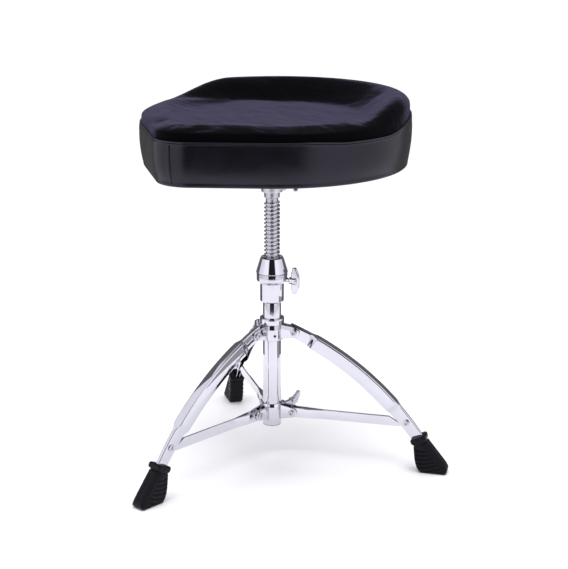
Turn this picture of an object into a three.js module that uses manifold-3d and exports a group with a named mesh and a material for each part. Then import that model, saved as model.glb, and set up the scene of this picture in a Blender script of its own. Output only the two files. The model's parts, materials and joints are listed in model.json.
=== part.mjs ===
// Height-adjustable drum throne: a saddle seat on a threaded spindle and a folding tripod.
// Millimetres, +Z up. The floor is z = 0 and the front leg points along -Y.
import * as THREE from 'three';
import { mergeVertices } from 'three/addons/utils/BufferGeometryUtils.js';
import Module from 'manifold-3d';

const wasm = await Module();
wasm.setup();

// ---- Driving dimensions -------------------------------------------------------------------

const GAP = 0.3;                     // clearance between pieces that touch
const COLUMN_Y = 38;                 // the column stands this far behind the footprint's centre
const DEGREE = Math.PI / 180;

// Column
const TUBE = { radius: 15, wall: 1.5, bottom: 58, top: 300.4 };
const SLEEVE = { radius: 19.7, bottom: 269, top: 300.4 };
const NUT = { bore: 13.1, ringRadius: 26, bottom: 300.7, ringTop: 317.6, coneRadius: 18.4, top: 343 };
const THREAD = { crest: 12.7, root: 10.1, pitch: 6.35, bottom: 226, turns: 32 };
const SPINDLE = { neckTop: 440.5, bossRadius: 12.6, bossTop: 492, stubRadius: 8, bottom: 204, stubTop: 218 };
const GLIDE = { radius: 13.2, bottom: 204.3, top: 217.7 };

// Tripod
const LEG_NAMES = ['front', 'right', 'left'];
const LEG_AZIMUTHS = [-90, 30, 150];
const HUB = {
  bore: 15.2, radius: 17.7, bottom: 204.4, flare: 223.5, neckRadius: 16.2, bodyTop: 232,
  ringRadius: 20.3, ringTop: 242,
};
const HUB_PIVOT = { r: 38, z: 219.5 };
const HUB_PIN = { radius: 2, z: HUB.bottom + 9, azimuth: -30 };
const COLLAR = { bore: 15.3, radius: 17.6, bottom: 67, flare: 90, neckRadius: 16.2, top: 95 };
const COLLAR_PIVOT = { r: 35.3, z: 81 };
const BRACE_PIVOT = { r: 225, z: 81 };
const PIVOT_RADIUS = 3;

// A leg is a channel bent to an arc: its web follows this circle in the leg's own plane.
const LEG = {
  arcR: -135, arcZ: -205.7, arcRadius: 470,
  topAngle: 69.1, bottomAngle: 31.9, upperShoulder: 63.8, lowerShoulder: 42.6, shoulderSpan: 1.3,
  narrow: 3.8, wide: 8.75, topDepth: 21, midDepth: 22.5, bottomDepth: 18.5, wall: 1.6,
};
const FOOT_HALF_WIDTH = 13;
// A brace is a channel whose outer end is pinched to a tongue that lies inside the leg.
const BRACE = {
  halfWidth: 5.5, height: 16, wall: 1.3, innerFork: 13,
  taperStart: 22, taperEnd: 52, tongueHalf: 1.85, tongueTopEnd: 160, tongueEnd: 182,
};

// Seat, in its own frame: the nose points along -s, and the column is at s = 0
const SEAT_TURN = -85.4;             // direction of the nose about the column, in degrees
const SEAT = {
  mainRadius: 212, mainCentre: 8.5, noseRadius: 60, noseCentre: -181,
  bottom: 496, seam: 562, taper: 4.5, sideThickness: 2.5, boardBottom: 500, boardTop: 512,
  frontEdge: 582, backEdge: 603, floor: 571, rimWidth: 60,
};
const BRACKET = {
  radius: 17.2, bottom: 449.3, bore: 12.9, boreTop: 493, plateRadius: 58, plateThickness: 4,
  lugHalfWidth: 8, lugEnd: 22.4, lugBottom: 451.5,
};
const SCREW_CIRCLE = 46;
const SCREW_TURN = -45;              // degrees from the seat's own axes

// Wing bolts
const WING = { shaftRadius: 4, hubRadius: 6.5, thickness: 5, span: 22, length: 14 };
const COLLAR_WING_TILT = 30;
const LOCK_AZIMUTH = 24.6;
const LOCK_Z = 305.8;
const SEAT_CLAMP_AZIMUTH = 44.6;
const SEAT_CLAMP_Z = 470.6;
const COLLAR_CLAMP_AZIMUTH = 90;
const COLLAR_CLAMP_Z = 83;

// ---- Materials ----------------------------------------------------------------------------

const material = (color, roughness, metalness) =>
  new THREE.MeshStandardMaterial({ color, roughness, metalness });
const chrome = () => material(0xd5d7db, 0.12, 1);
const castChrome = () => material(0xc6c8cc, 0.25, 1);
const threadSteel = () => material(0xb9bbc0, 0.28, 1);
const rubber = () => material(0x161617, 0.75, 0);
const nylon = () => material(0x2a2a2c, 0.5, 0);
const velvet = () => material(0x0e0e14, 0.95, 0);
const leather = () => material(0x121216, 0.45, 0);
const board = () => material(0x1a1917, 0.8, 0);

// ---- Solid modelling helpers --------------------------------------------------------------

/** Position-only geometry with shared vertices, turned so that its faces point out. */
function closed(source) {
  const bare = source.clone();
  bare.deleteAttribute('normal');
  bare.deleteAttribute('uv');
  const merged = mergeVertices(bare, 1e-4);
  const p = merged.attributes.position;
  const corner = [0, 1, 2].map(() => new THREE.Vector3());
  const kept = [];
  let volume = 0;
  for (let i = 0; i < merged.index.count; i += 3) {
    const ids = [0, 1, 2].map((k) => merged.index.getX(i + k));
    if (ids[0] === ids[1] || ids[1] === ids[2] || ids[0] === ids[2]) continue;
    kept.push(ids);
    ids.forEach((id, k) => corner[k].fromBufferAttribute(p, id));
    volume += corner[0].dot(corner[1].clone().cross(corner[2]));
  }
  merged.setIndex(kept.flatMap(([a, b, c]) => (volume < 0 ? [a, c, b] : [a, b, c])));
  return merged;
}

function solid(source) {
  const geometry = closed(source);
  return new wasm.Manifold(new wasm.Mesh({
    numProp: 3,
    vertProperties: new Float32Array(geometry.attributes.position.array),
    triVerts: new Uint32Array(geometry.index.array),
  }));
}

function geometryOf(manifold) {
  const mesh = manifold.getMesh();
  const geometry = new THREE.BufferGeometry();
  geometry.setAttribute('position', new THREE.BufferAttribute(new Float32Array(mesh.vertProperties), 3));
  geometry.setIndex(new THREE.BufferAttribute(new Uint32Array(mesh.triVerts), 1));
  return geometry;
}

/** Adds the joined solids and takes the cut ones away. */
function carve(joined, cuts = []) {
  const whole = joined.map(solid).reduce((a, b) => a.add(b));
  return geometryOf(cuts.map(solid).reduce((a, b) => a.subtract(b), whole));
}

/** Turns a profile of [radius, z] points about the column axis. */
function turned(profile, segments = 24) {
  const points = profile.map(([x, y]) => new THREE.Vector2(x, y));
  return new THREE.LatheGeometry(points, segments).rotateX(90 * DEGREE);
}

/** A ring or a rod about the column axis. */
function ring(inner, outer, bottom, top, segments = 24) {
  if (inner === 0) return turned([[0, bottom], [outer, bottom], [outer, top], [0, top]], segments);
  const corners = [[inner, bottom], [outer, bottom], [outer, top], [inner, top], [inner, bottom]];
  return turned(corners, segments);
}

/** A rod along Y, centred on (x, z). */
function crossRod(radius, halfLength, x, z, segments = 12) {
  return new THREE.CylinderGeometry(radius, radius, 2 * halfLength, segments).translate(x, 0, z);
}

/** A rod along X from x0 to x1, at height z. */
function radialRod(radius, x0, x1, z, segments = 16) {
  const rod = new THREE.CylinderGeometry(radius, radius, x1 - x0, segments).rotateZ(90 * DEGREE);
  return rod.translate((x0 + x1) / 2, 0, z);
}

/** Extrudes a shape drawn in the x-z plane from y0 to y1. */
function plate(shape, y0, y1, options = {}) {
  const settings = { depth: y1 - y0, bevelEnabled: false, curveSegments: 6, ...options };
  return new THREE.ExtrudeGeometry(shape, settings).rotateX(90 * DEGREE).translate(0, y1, 0);
}

function box(x0, x1, y0, y1, z0, z1) {
  const block = new THREE.BoxGeometry(x1 - x0, y1 - y0, z1 - z0);
  return block.translate((x0 + x1) / 2, (y0 + y1) / 2, (z0 + z1) / 2);
}

/** A closed solid skinned over rings that have the same number of points. */
function loft(rings, capOutline) {
  const count = rings[0].length;
  const triangles = [];
  for (let i = 0; i + 1 < rings.length; i += 1) {
    for (let j = 0; j < count; j += 1) {
      const a = i * count + j;
      const b = i * count + ((j + 1) % count);
      triangles.push(a, b, b + count, a, b + count, a + count);
    }
  }
  const last = (rings.length - 1) * count;
  for (const [a, b, c] of THREE.ShapeUtils.triangulateShape(capOutline, [])) {
    triangles.push(c, b, a, last + a, last + b, last + c);
  }
  const geometry = new THREE.BufferGeometry();
  geometry.setAttribute('position', new THREE.Float32BufferAttribute(rings.flat(2), 3));
  geometry.setIndex(triangles);
  return closed(geometry);
}

const throne = new THREE.Group();
throne.name = 'drum_throne';
throne.position.y = COLUMN_Y;

function addPiece(name, geometry, finish, azimuth = 0) {
  const mesh = new THREE.Mesh(geometry, finish);
  mesh.name = name;
  mesh.rotation.z = azimuth * DEGREE;
  throne.add(mesh);
}

// ---- Column -------------------------------------------------------------------------------

addPiece('base_tube', ring(TUBE.radius - TUBE.wall, TUBE.radius, TUBE.bottom, TUBE.top), chrome());

const plugTop = TUBE.bottom + 12;
const plugRadius = TUBE.radius - TUBE.wall - GAP;
addPiece('tube_end_cap', turned([
  [0, TUBE.bottom - 3.2], [11, TUBE.bottom - 3.2], [TUBE.radius - 0.6, TUBE.bottom - 1.6],
  [TUBE.radius, TUBE.bottom - GAP], [plugRadius, TUBE.bottom - GAP], [plugRadius, plugTop], [0, plugTop],
], 24), chrome());

const sleeveInner = TUBE.radius + GAP;
addPiece('tube_sleeve', turned([
  [sleeveInner, SLEEVE.bottom], [SLEEVE.radius - 1.4, SLEEVE.bottom],
  [SLEEVE.radius, SLEEVE.bottom + 1.6], [SLEEVE.radius, SLEEVE.top],
  [sleeveInner, SLEEVE.top], [sleeveInner, SLEEVE.bottom],
]), chrome());

function nutHousing() {
  const body = turned([
    [0, NUT.bottom], [21.7, NUT.bottom], [NUT.ringRadius, NUT.bottom + 4],
    [NUT.ringRadius, NUT.ringTop - 1], [NUT.ringRadius - 1, NUT.ringTop],
    [NUT.coneRadius + 0.6, NUT.top - 1.2], [NUT.coneRadius - 0.6, NUT.top], [0, NUT.top],
  ]);
  const bore = ring(0, NUT.bore, NUT.bottom - 5, NUT.top + 5);
  const lockHole = radialRod(WING.shaftRadius + GAP, 5, 40, LOCK_Z);
  return carve([body], [bore, lockHole]);
}
addPiece('height_nut_housing', nutHousing(), castChrome(), LOCK_AZIMUTH);

/** The helical ridge: a three-point profile per turn, sheared by one pitch around the axis. */
function threadRidge() {
  const segments = 14;
  const profile = [[THREAD.root, 0.05], [THREAD.crest, 0.36], [THREAD.crest, 0.74]];
  const rows = THREAD.turns * profile.length;
  const positions = [];
  for (let i = 0; i <= rows; i += 1) {
    const [radius, share] = profile[i % profile.length];
    const z = THREAD.bottom + (Math.floor(i / profile.length) + share) * THREAD.pitch;
    for (let j = 0; j < segments; j += 1) {
      const turn = j / segments;
      const angle = 2 * Math.PI * turn;
      positions.push(radius * Math.cos(angle), radius * Math.sin(angle), z + turn * THREAD.pitch);
    }
  }
  // One turn up the helix a point meets the point that is one profile length higher.
  for (let i = rows - profile.length + 1; i <= rows; i += 1) {
    const [radius, share] = profile[i % profile.length];
    const z = THREAD.bottom + (Math.floor(i / profile.length) + share + 1) * THREAD.pitch;
    positions.push(radius, 0, z);
  }
  const extra = (rows + 1) * segments;
  const vertex = (i, j) => {
    if (j < segments) return i * segments + j;
    const above = i + profile.length;
    return above <= rows ? above * segments : extra + above - rows - 1;
  };
  const triangles = [];
  for (let i = 0; i < rows; i += 1) {
    for (let j = 0; j < segments; j += 1) {
      const [a, b] = [vertex(i, j), vertex(i, j + 1)];
      const [c, d] = [vertex(i + 1, j + 1), vertex(i + 1, j)];
      triangles.push(a, b, c, a, c, d);
    }
  }
  const bottomCentre = positions.length / 3;
  positions.push(0, 0, THREAD.bottom, 0, 0, THREAD.bottom + (THREAD.turns + 1) * THREAD.pitch);
  const bottomLoop = Array.from({ length: segments + 1 }, (_, j) => vertex(0, j));
  for (let i = profile.length - 1; i > 0; i -= 1) bottomLoop.push(vertex(i, 0));
  const topLoop = Array.from({ length: segments + 1 }, (_, j) => vertex(rows, j));
  for (let i = rows - 1; i > rows - profile.length; i -= 1) topLoop.push(vertex(i, segments));
  bottomLoop.forEach((v, k) => {
    triangles.push(bottomLoop[(k + 1) % bottomLoop.length], v, bottomCentre);
  });
  topLoop.forEach((v, k) => {
    triangles.push(v, topLoop[(k + 1) % topLoop.length], bottomCentre + 1);
  });
  const geometry = new THREE.BufferGeometry();
  geometry.setAttribute('position', new THREE.Float32BufferAttribute(positions, 3));
  geometry.setIndex(triangles);
  return geometry;
}

function spindle() {
  const hidden = THREAD.root - 1.5;
  const threadTop = THREAD.bottom + THREAD.turns * THREAD.pitch;
  const core = turned([
    [0, SPINDLE.bottom], [SPINDLE.stubRadius, SPINDLE.bottom], [SPINDLE.stubRadius, SPINDLE.stubTop],
    [THREAD.root, SPINDLE.stubTop], [THREAD.root, THREAD.bottom + THREAD.pitch],
    [hidden, THREAD.bottom + THREAD.pitch + 2], [hidden, threadTop - THREAD.pitch],
    [THREAD.root, threadTop - THREAD.pitch + 2], [THREAD.root, SPINDLE.neckTop - 1],
    [SPINDLE.bossRadius, SPINDLE.neckTop], [SPINDLE.bossRadius, SPINDLE.bossTop - 1],
    [SPINDLE.bossRadius - 1, SPINDLE.bossTop], [0, SPINDLE.bossTop],
  ], 24);
  const screwHole = ring(0, 3 + GAP, SPINDLE.bottom - 5, SPINDLE.bottom + 14, 16);
  return carve([core, threadRidge()], [screwHole]);
}
addPiece('threaded_spindle', spindle(), threadSteel());

addPiece('spindle_glide', ring(SPINDLE.stubRadius + GAP, GLIDE.radius, GLIDE.bottom, GLIDE.top, 32), nylon());
addPiece('spindle_stop_screw', turned([
  [0, SPINDLE.bottom - 4], [8.5, SPINDLE.bottom - 4], [11, SPINDLE.bottom - 2.5], [11, SPINDLE.bottom - GAP],
  [3, SPINDLE.bottom - GAP], [3, SPINDLE.bottom + 12], [0, SPINDLE.bottom + 12],
], 24), threadSteel());

// ---- Wing bolts ---------------------------------------------------------------------------

/** One wing bolt along +X: a shaft from tip to hub, a round hub and an oval wing, turned by tilt degrees. */
function wingBolt(tip, hubStart, axisZ, tilt = 0) {
  const wingStart = hubStart + 3;
  const wingEnd = wingStart + WING.length;
  const middle = wingStart + 6;
  const outline = new THREE.Shape();
  outline.moveTo(wingStart, 0);
  outline.bezierCurveTo(wingStart, -11, wingStart, -WING.span, middle, -WING.span);
  outline.bezierCurveTo(wingEnd - 1, -WING.span, wingEnd, -9, wingEnd, 0);
  outline.bezierCurveTo(wingEnd, 9, wingEnd - 1, WING.span, middle, WING.span);
  outline.bezierCurveTo(wingStart, WING.span, wingStart, 11, wingStart, 0);
  const bevel = { bevelEnabled: true, bevelThickness: 1, bevelSize: 1, bevelOffset: -1, bevelSegments: 1 };
  const wing = plate(outline, -WING.thickness / 2 + 1, WING.thickness / 2 - 1, bevel);
  const shaft = radialRod(WING.shaftRadius, tip, hubStart + 4, 0);
  const hub = radialRod(WING.hubRadius, hubStart, wingEnd - 4, 0, 16);
  return carve([shaft, hub, wing]).rotateX(tilt * DEGREE).translate(0, 0, axisZ);
}

addPiece('height_lock_wing_bolt', wingBolt(13.4, 29.5, LOCK_Z), castChrome(), LOCK_AZIMUTH);
addPiece('seat_clamp_wing_bolt', wingBolt(13.1, 28.5, SEAT_CLAMP_Z), castChrome(), SEAT_CLAMP_AZIMUTH);
const collarBolt = wingBolt(15.6, 44, COLLAR_CLAMP_Z, COLLAR_WING_TILT);
addPiece('collar_wing_bolt', collarBolt, castChrome(), COLLAR_CLAMP_AZIMUTH);

// ---- Tripod castings ----------------------------------------------------------------------

/** The two ears of a clevis that point along +X, round the given pivot. */
function ears(pivot, inner, thickness, endRadius, rootR, rootBottom, rootTop) {
  const shape = new THREE.Shape();
  shape.moveTo(rootR, rootBottom);
  shape.lineTo(pivot.r, pivot.z - endRadius);
  shape.absarc(pivot.r, pivot.z, endRadius, -90 * DEGREE, 90 * DEGREE, false);
  shape.lineTo(rootR, rootTop);
  shape.closePath();
  return [plate(shape, inner, inner + thickness), plate(shape, -inner - thickness, -inner)];
}

function turnedCopies(geometries) {
  return LEG_AZIMUTHS.flatMap((azimuth) => geometries.map((g) => g.clone().rotateZ(azimuth * DEGREE)));
}

const HUB_EAR = { inner: LEG.narrow + 0.4, thickness: 3, endRadius: 9 };
const COLLAR_EAR = { inner: BRACE.halfWidth + 0.4, thickness: 2.6, endRadius: 8.5 };

function hub() {
  const barrel = turned([
    [0, HUB.bottom], [HUB.radius - 1, HUB.bottom], [HUB.radius, HUB.bottom + 1],
    [HUB.radius, HUB.flare], [HUB.neckRadius, HUB.bodyTop],
    [HUB.ringRadius, HUB.bodyTop], [HUB.ringRadius, HUB.ringTop - 1.5],
    [HUB.ringRadius - 1.5, HUB.ringTop], [0, HUB.ringTop],
  ]);
  const clevises = turnedCopies(ears(HUB_PIVOT, HUB_EAR.inner, HUB_EAR.thickness, HUB_EAR.endRadius,
    HUB.bore, HUB.bottom + 2.5, HUB.bodyTop - 1));
  const holes = turnedCopies([crossRod(PIVOT_RADIUS + GAP, 20, HUB_PIVOT.r, HUB_PIVOT.z)]);
  const pinHole = radialRod(HUB_PIN.radius + GAP, 10, 30, HUB_PIN.z, 16).rotateZ(HUB_PIN.azimuth * DEGREE);
  const bore = ring(0, HUB.bore, HUB.bottom - 5, HUB.ringTop + 5);
  return carve([barrel, ...clevises], [bore, pinHole, ...holes]);
}
addPiece('leg_hub', hub(), castChrome());
const hubPin = radialRod(HUB_PIN.radius, TUBE.radius + 0.5, HUB.radius - 0.4, HUB_PIN.z, 16);
addPiece('hub_pin', hubPin, threadSteel(), HUB_PIN.azimuth);

function lowerCollar() {
  const barrel = turned([
    [0, COLLAR.bottom], [COLLAR.radius - 1, COLLAR.bottom], [COLLAR.radius, COLLAR.bottom + 1],
    [COLLAR.radius, COLLAR.flare], [COLLAR.neckRadius, COLLAR.top], [0, COLLAR.top],
  ]);
  const clevises = turnedCopies(ears(COLLAR_PIVOT, COLLAR_EAR.inner, COLLAR_EAR.thickness,
    COLLAR_EAR.endRadius, COLLAR.bore, COLLAR.bottom + 2, COLLAR.top - 2));
  const holes = turnedCopies([crossRod(PIVOT_RADIUS + GAP, 20, COLLAR_PIVOT.r, COLLAR_PIVOT.z)]);
  const boss = radialRod(7.5, 5, 27, COLLAR_CLAMP_Z, 24).rotateZ(COLLAR_CLAMP_AZIMUTH * DEGREE);
  const clampHole = radialRod(WING.shaftRadius + GAP, 5, 40, COLLAR_CLAMP_Z);
  const bore = ring(0, COLLAR.bore, COLLAR.bottom - 5, COLLAR.top + 5);
  const cuts = [bore, clampHole.rotateZ(COLLAR_CLAMP_AZIMUTH * DEGREE), ...holes];
  return carve([barrel, boss, ...clevises], cuts);
}
addPiece('brace_collar', lowerCollar(), castChrome());

// ---- Legs, braces, rivets and feet --------------------------------------------------------

const smooth = (value, start, end) => THREE.MathUtils.smoothstep(value, start, end);

function legHalfWidth(angle) {
  const half = LEG.shoulderSpan / 2;
  const belowUpper = 1 - smooth(angle, LEG.upperShoulder - half, LEG.upperShoulder + half);
  const aboveLower = smooth(angle, LEG.lowerShoulder - half, LEG.lowerShoulder + half);
  return LEG.narrow + (LEG.wide - LEG.narrow) * belowUpper * aboveLower;
}

function legDepth(angle) {
  const toTop = smooth(angle, LEG.upperShoulder - 4, LEG.topAngle);
  const toBottom = 1 - smooth(angle, LEG.bottomAngle, LEG.lowerShoulder + 4);
  return LEG.midDepth + (LEG.topDepth - LEG.midDepth) * toTop + (LEG.bottomDepth - LEG.midDepth) * toBottom;
}

/** A point of the leg: across its width, and at a depth below the web's outer face. */
function legPoint(angle, y, depth) {
  const radius = LEG.arcRadius - depth;
  return [LEG.arcR + radius * Math.cos(angle * DEGREE), y, LEG.arcZ + radius * Math.sin(angle * DEGREE)];
}

function channelSection(half, depth) {
  const [wall, round] = [LEG.wall, 2.2];
  const inner = half - wall;
  return [
    [-half, depth], [-half, round], [-half + round, 0], [half - round, 0], [half, round], [half, depth],
    [inner, depth], [inner, round], [inner - 0.6, wall],
    [-inner + 0.6, wall], [-inner, round], [-inner, depth],
  ];
}

function sweepLeg(angles, section) {
  const rings = angles.map((angle) => section(angle).map(([y, depth]) => legPoint(angle, y, depth)));
  return loft(rings, section(angles[0]).map(([y, depth]) => new THREE.Vector2(y, depth)));
}

function steps(start, end, count) {
  return Array.from({ length: count + 1 }, (_, i) => start + ((end - start) * i) / count);
}

function leg() {
  const half = LEG.shoulderSpan / 2;
  const angles = [
    ...steps(LEG.topAngle, LEG.upperShoulder + half, 2),
    ...steps(LEG.upperShoulder + half, LEG.upperShoulder - half, 3).slice(1),
    ...steps(LEG.upperShoulder - half, LEG.lowerShoulder + half, 9).slice(1),
    ...steps(LEG.lowerShoulder + half, LEG.lowerShoulder - half, 3).slice(1),
    ...steps(LEG.lowerShoulder - half, LEG.bottomAngle, 3).slice(1),
  ];
  const channel = sweepLeg(angles, (angle) => channelSection(legHalfWidth(angle), legDepth(angle)));
  const holes = [HUB_PIVOT, BRACE_PIVOT].map(({ r, z }) => crossRod(PIVOT_RADIUS + GAP, 20, r, z));
  return carve([channel], holes);
}

/** A prism over the brace's plan, set in from its sides by the given wall. */
function bracePlan(wall, bottom, top) {
  const { halfWidth, tongueHalf, taperStart, taperEnd } = BRACE;
  const sides = [[-20, halfWidth], [taperStart, halfWidth], [taperEnd, tongueHalf], [240, tongueHalf]];
  const upper = sides.map(([x, half]) => new THREE.Vector2(COLLAR_PIVOT.r + x, half - wall));
  const lower = upper.map((p) => new THREE.Vector2(p.x, -p.y)).reverse();
  const settings = { depth: top - bottom, bevelEnabled: false };
  return new THREE.ExtrudeGeometry(new THREE.Shape([...lower, ...upper]), settings).translate(0, 0, bottom);
}

function brace() {
  const { r: x0, z } = COLLAR_PIVOT;
  const end = BRACE.height / 2;
  const side = new THREE.Shape();
  side.moveTo(x0 + BRACE.tongueEnd - 3, z - end);
  side.lineTo(x0 + BRACE.tongueEnd, z - end + 2.5);
  side.lineTo(x0 + BRACE.tongueTopEnd, z + end);
  side.absarc(x0, z, end, 90 * DEGREE, 270 * DEGREE, false);
  side.closePath();
  const inner = BRACE.halfWidth - BRACE.wall;
  const bar = plate(side, -BRACE.halfWidth, BRACE.halfWidth);
  const outer = solid(bar).intersect(solid(bracePlan(0, z - end - 5, z + end + 5)));
  const cuts = [
    bracePlan(BRACE.wall, z - end - 5, z + end - BRACE.wall),
    box(x0 - 20, x0 + BRACE.innerFork, -inner, inner, z - end - 5, z + end + 5),
    crossRod(PIVOT_RADIUS + GAP, 20, x0, z),
  ];
  return geometryOf(cuts.map(solid).reduce((a, b) => a.subtract(b), outer));
}

/** A rivet along Y whose heads sit outside the given half width. */
function rivet(pivot, outer) {
  const start = outer + GAP;
  const profile = [[0, start + 2.2], [3, start + 2], [5.4, start + 0.8], [5.4, start], [PIVOT_RADIUS, start]];
  const points = [...profile, ...profile.map(([r, y]) => [r, -y]).reverse()];
  const body = new THREE.LatheGeometry(points.map(([x, y]) => new THREE.Vector2(x, y)), 14);
  return closed(body.translate(pivot.r, 0, pivot.z));
}

/** Half of a leg-to-brace rivet: a head and a stub that ends at the inside of the leg's wall. */
function halfRivet(side) {
  const start = LEG.narrow + GAP;
  const inside = LEG.narrow - LEG.wall;
  const points = [
    [0, start + 2.2], [3, start + 2], [5.4, start + 0.8], [5.4, start],
    [PIVOT_RADIUS, start], [PIVOT_RADIUS, inside], [0, inside],
  ];
  const body = new THREE.LatheGeometry(points.map(([x, y]) => new THREE.Vector2(x, y * side)), 14);
  return closed(body.translate(BRACE_PIVOT.r, 0, BRACE_PIVOT.z));
}

function foot() {
  const side = new THREE.Shape();
  side.moveTo(251, 0);
  side.lineTo(287, 0);
  side.bezierCurveTo(292, 1, 295, 7, 291.5, 13);
  side.lineTo(263, 48);
  side.bezierCurveTo(263, 58, 261, 62, 256, 64);
  side.lineTo(231.5, 54);
  side.bezierCurveTo(233, 47, 237, 44, 238.5, 39);
  side.bezierCurveTo(240.5, 22, 240, 8, 251, 0);
  const edge = 3.5;
  const bevel = {
    bevelEnabled: true, bevelThickness: edge, bevelSize: edge, bevelOffset: -edge, bevelSegments: 2,
    curveSegments: 5,
  };
  const block = plate(side, edge - FOOT_HALF_WIDTH, FOOT_HALF_WIDTH - edge, bevel);
  const socket = (angle) => {
    const half = LEG.narrow + GAP;
    const depth = legDepth(angle) + GAP;
    return [[-half, depth], [-half, -GAP], [half, -GAP], [half, depth]];
  };
  const pocket = sweepLeg(steps(LEG.bottomAngle + 8, LEG.bottomAngle - 0.1, 6), socket);
  return carve([block], [pocket]);
}

LEG_AZIMUTHS.forEach((azimuth, i) => {
  const name = LEG_NAMES[i];
  addPiece(`leg_${name}`, leg(), chrome(), azimuth);
  addPiece(`brace_${name}`, brace(), chrome(), azimuth);
  addPiece(`foot_${name}`, foot(), rubber(), azimuth);
  const hubRivet = rivet(HUB_PIVOT, HUB_EAR.inner + HUB_EAR.thickness);
  addPiece(`hub_rivet_${name}`, hubRivet, threadSteel(), azimuth);
  const collarRivet = rivet(COLLAR_PIVOT, COLLAR_EAR.inner + COLLAR_EAR.thickness);
  addPiece(`collar_rivet_${name}`, collarRivet, threadSteel(), azimuth);
  addPiece(`brace_rivet_${name}_a`, halfRivet(1), threadSteel(), azimuth);
  addPiece(`brace_rivet_${name}_b`, halfRivet(-1), threadSteel(), azimuth);
});

// ---- Seat ---------------------------------------------------------------------------------

/** The seat's outline, set in by some millimetres: two circles joined by straight flanks. */
function seatOutline(inset) {
  const [main, nose] = [SEAT.mainRadius - inset, SEAT.noseRadius - inset];
  const lean = Math.asin((SEAT.mainRadius - SEAT.noseRadius) / (SEAT.mainCentre - SEAT.noseCentre));
  const flank = 90 * DEGREE + lean;
  const arc = (centre, radius, from, to, count) => steps(from, to, count).map((angle) => [
    centre + radius * Math.cos(angle), radius * Math.sin(angle),
  ]);
  return [
    ...arc(SEAT.mainCentre, main, -flank, flank, 32),
    ...arc(SEAT.noseCentre, nose, flank, 360 * DEGREE - flank, 8),
  ];
}

/** Height of the cushion's upper edge: low over the thighs, raised round the back. */
const seatEdge = (s) => SEAT.frontEdge + (SEAT.backEdge - SEAT.frontEdge) * smooth(s, -25, 95);

/** Height of the cushion's top at a distance in from the outline: the rim falls to a flat floor. */
function seatTop(s, inset) {
  const edge = seatEdge(s);
  return edge - (edge - SEAT.floor) * smooth(inset, 20, 20 + SEAT.rimWidth);
}

const place = ([s, w], z) => [s, w, z];

/** How far the seat's side leans in at a height below the seam. */
const leanIn = (z) => SEAT.taper * (SEAT.seam - z) / (SEAT.seam - SEAT.bottom);

/** A slab of the seat between two heights, set in from the leaning side. */
function seatSlab(inset, bottom, top) {
  const rings = [bottom, top].map((z) => seatOutline(inset + leanIn(z)).map((p) => place(p, z)));
  return loft(rings, seatOutline(inset).map(([s, w]) => new THREE.Vector2(s, w)));
}

function cushion() {
  const skin = SEAT.sideThickness + GAP;
  const rise = (drop) => (p) => place(p, seatEdge(p[0]) - drop);
  const flat = (z) => (p) => place(p, z);
  const levels = [
    [skin + leanIn(SEAT.boardTop + GAP), flat(SEAT.boardTop + GAP)], [skin, flat(SEAT.seam)],
    [skin + 4, rise(9)], [skin + 12, rise(2)], [22, rise(0)],
  ];
  const rings = levels.map(([inset, lift]) => seatOutline(inset).map(lift));
  const innerInset = 40;
  const shrunk = (share) => seatOutline(innerInset).map(([s, w]) => {
    const [fromS, fromW] = [(s - SEAT.mainCentre) * share, w * share];
    const inset = innerInset + Math.hypot(s - SEAT.mainCentre, w) * (1 - share);
    return place([SEAT.mainCentre + fromS, fromW], seatTop(SEAT.mainCentre + fromS, inset));
  });
  rings.push(...[1, 0.88, 0.75, 0.3].map(shrunk));
  return loft(rings, shrunk(0.3).map(([s, w]) => new THREE.Vector2(s, w)));
}

const screwAngles = [0, 90, 180, 270];
const screwPlaces = screwAngles.map((a) => [
  SCREW_CIRCLE * Math.cos(a * DEGREE), SCREW_CIRCLE * Math.sin(a * DEGREE),
]);
const screwHoles = (bottom, top) =>
  screwPlaces.map(([x, y]) => ring(0, 3 + GAP, bottom, top, 16).translate(x, y, 0));

const seatAzimuth = SEAT_TURN + 180;
addPiece('seat_cushion', cushion(), velvet(), seatAzimuth);
addPiece('seat_side_cover', carve(
  [seatSlab(0, SEAT.bottom, SEAT.seam)],
  [seatSlab(SEAT.sideThickness, SEAT.bottom - 5, SEAT.seam + 5)],
), leather(), seatAzimuth);
addPiece('seat_board', carve(
  [seatSlab(SEAT.sideThickness + GAP, SEAT.boardBottom, SEAT.boardTop)],
  screwHoles(SEAT.boardBottom - 5, SEAT.boardBottom + 10).map((g) => g.rotateZ(SCREW_TURN * DEGREE)),
), board(), seatAzimuth);

function seatBracket() {
  const plateTop = SEAT.boardBottom - GAP;
  const plateBottom = plateTop - BRACKET.plateThickness;
  const body = turned([
    [0, BRACKET.bottom], [BRACKET.radius - 1.5, BRACKET.bottom], [BRACKET.radius, BRACKET.bottom + 1.5],
    [BRACKET.radius, plateBottom - 8], [BRACKET.radius + 2, plateBottom - 3],
    [BRACKET.radius + 8, plateBottom],
    [BRACKET.plateRadius - 1, plateBottom], [BRACKET.plateRadius, plateBottom + 1],
    [BRACKET.plateRadius, plateTop], [0, plateTop],
  ]);
  const clampTurn = (SEAT_CLAMP_AZIMUTH - seatAzimuth) * DEGREE;
  const half = BRACKET.lugHalfWidth;
  const lug = box(5, BRACKET.lugEnd, -half, half, BRACKET.lugBottom, plateTop - 1).rotateZ(clampTurn);
  const clampHole = radialRod(WING.shaftRadius + GAP, 5, 40, SEAT_CLAMP_Z).rotateZ(clampTurn);
  return carve([body, lug], [
    ring(0, BRACKET.bore, BRACKET.bottom - 5, BRACKET.boreTop),
    clampHole,
    ...screwHoles(plateBottom - 5, plateTop + 5).map((g) => g.rotateZ(SCREW_TURN * DEGREE)),
  ]);
}
addPiece('seat_bracket', seatBracket(), castChrome(), seatAzimuth);

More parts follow.
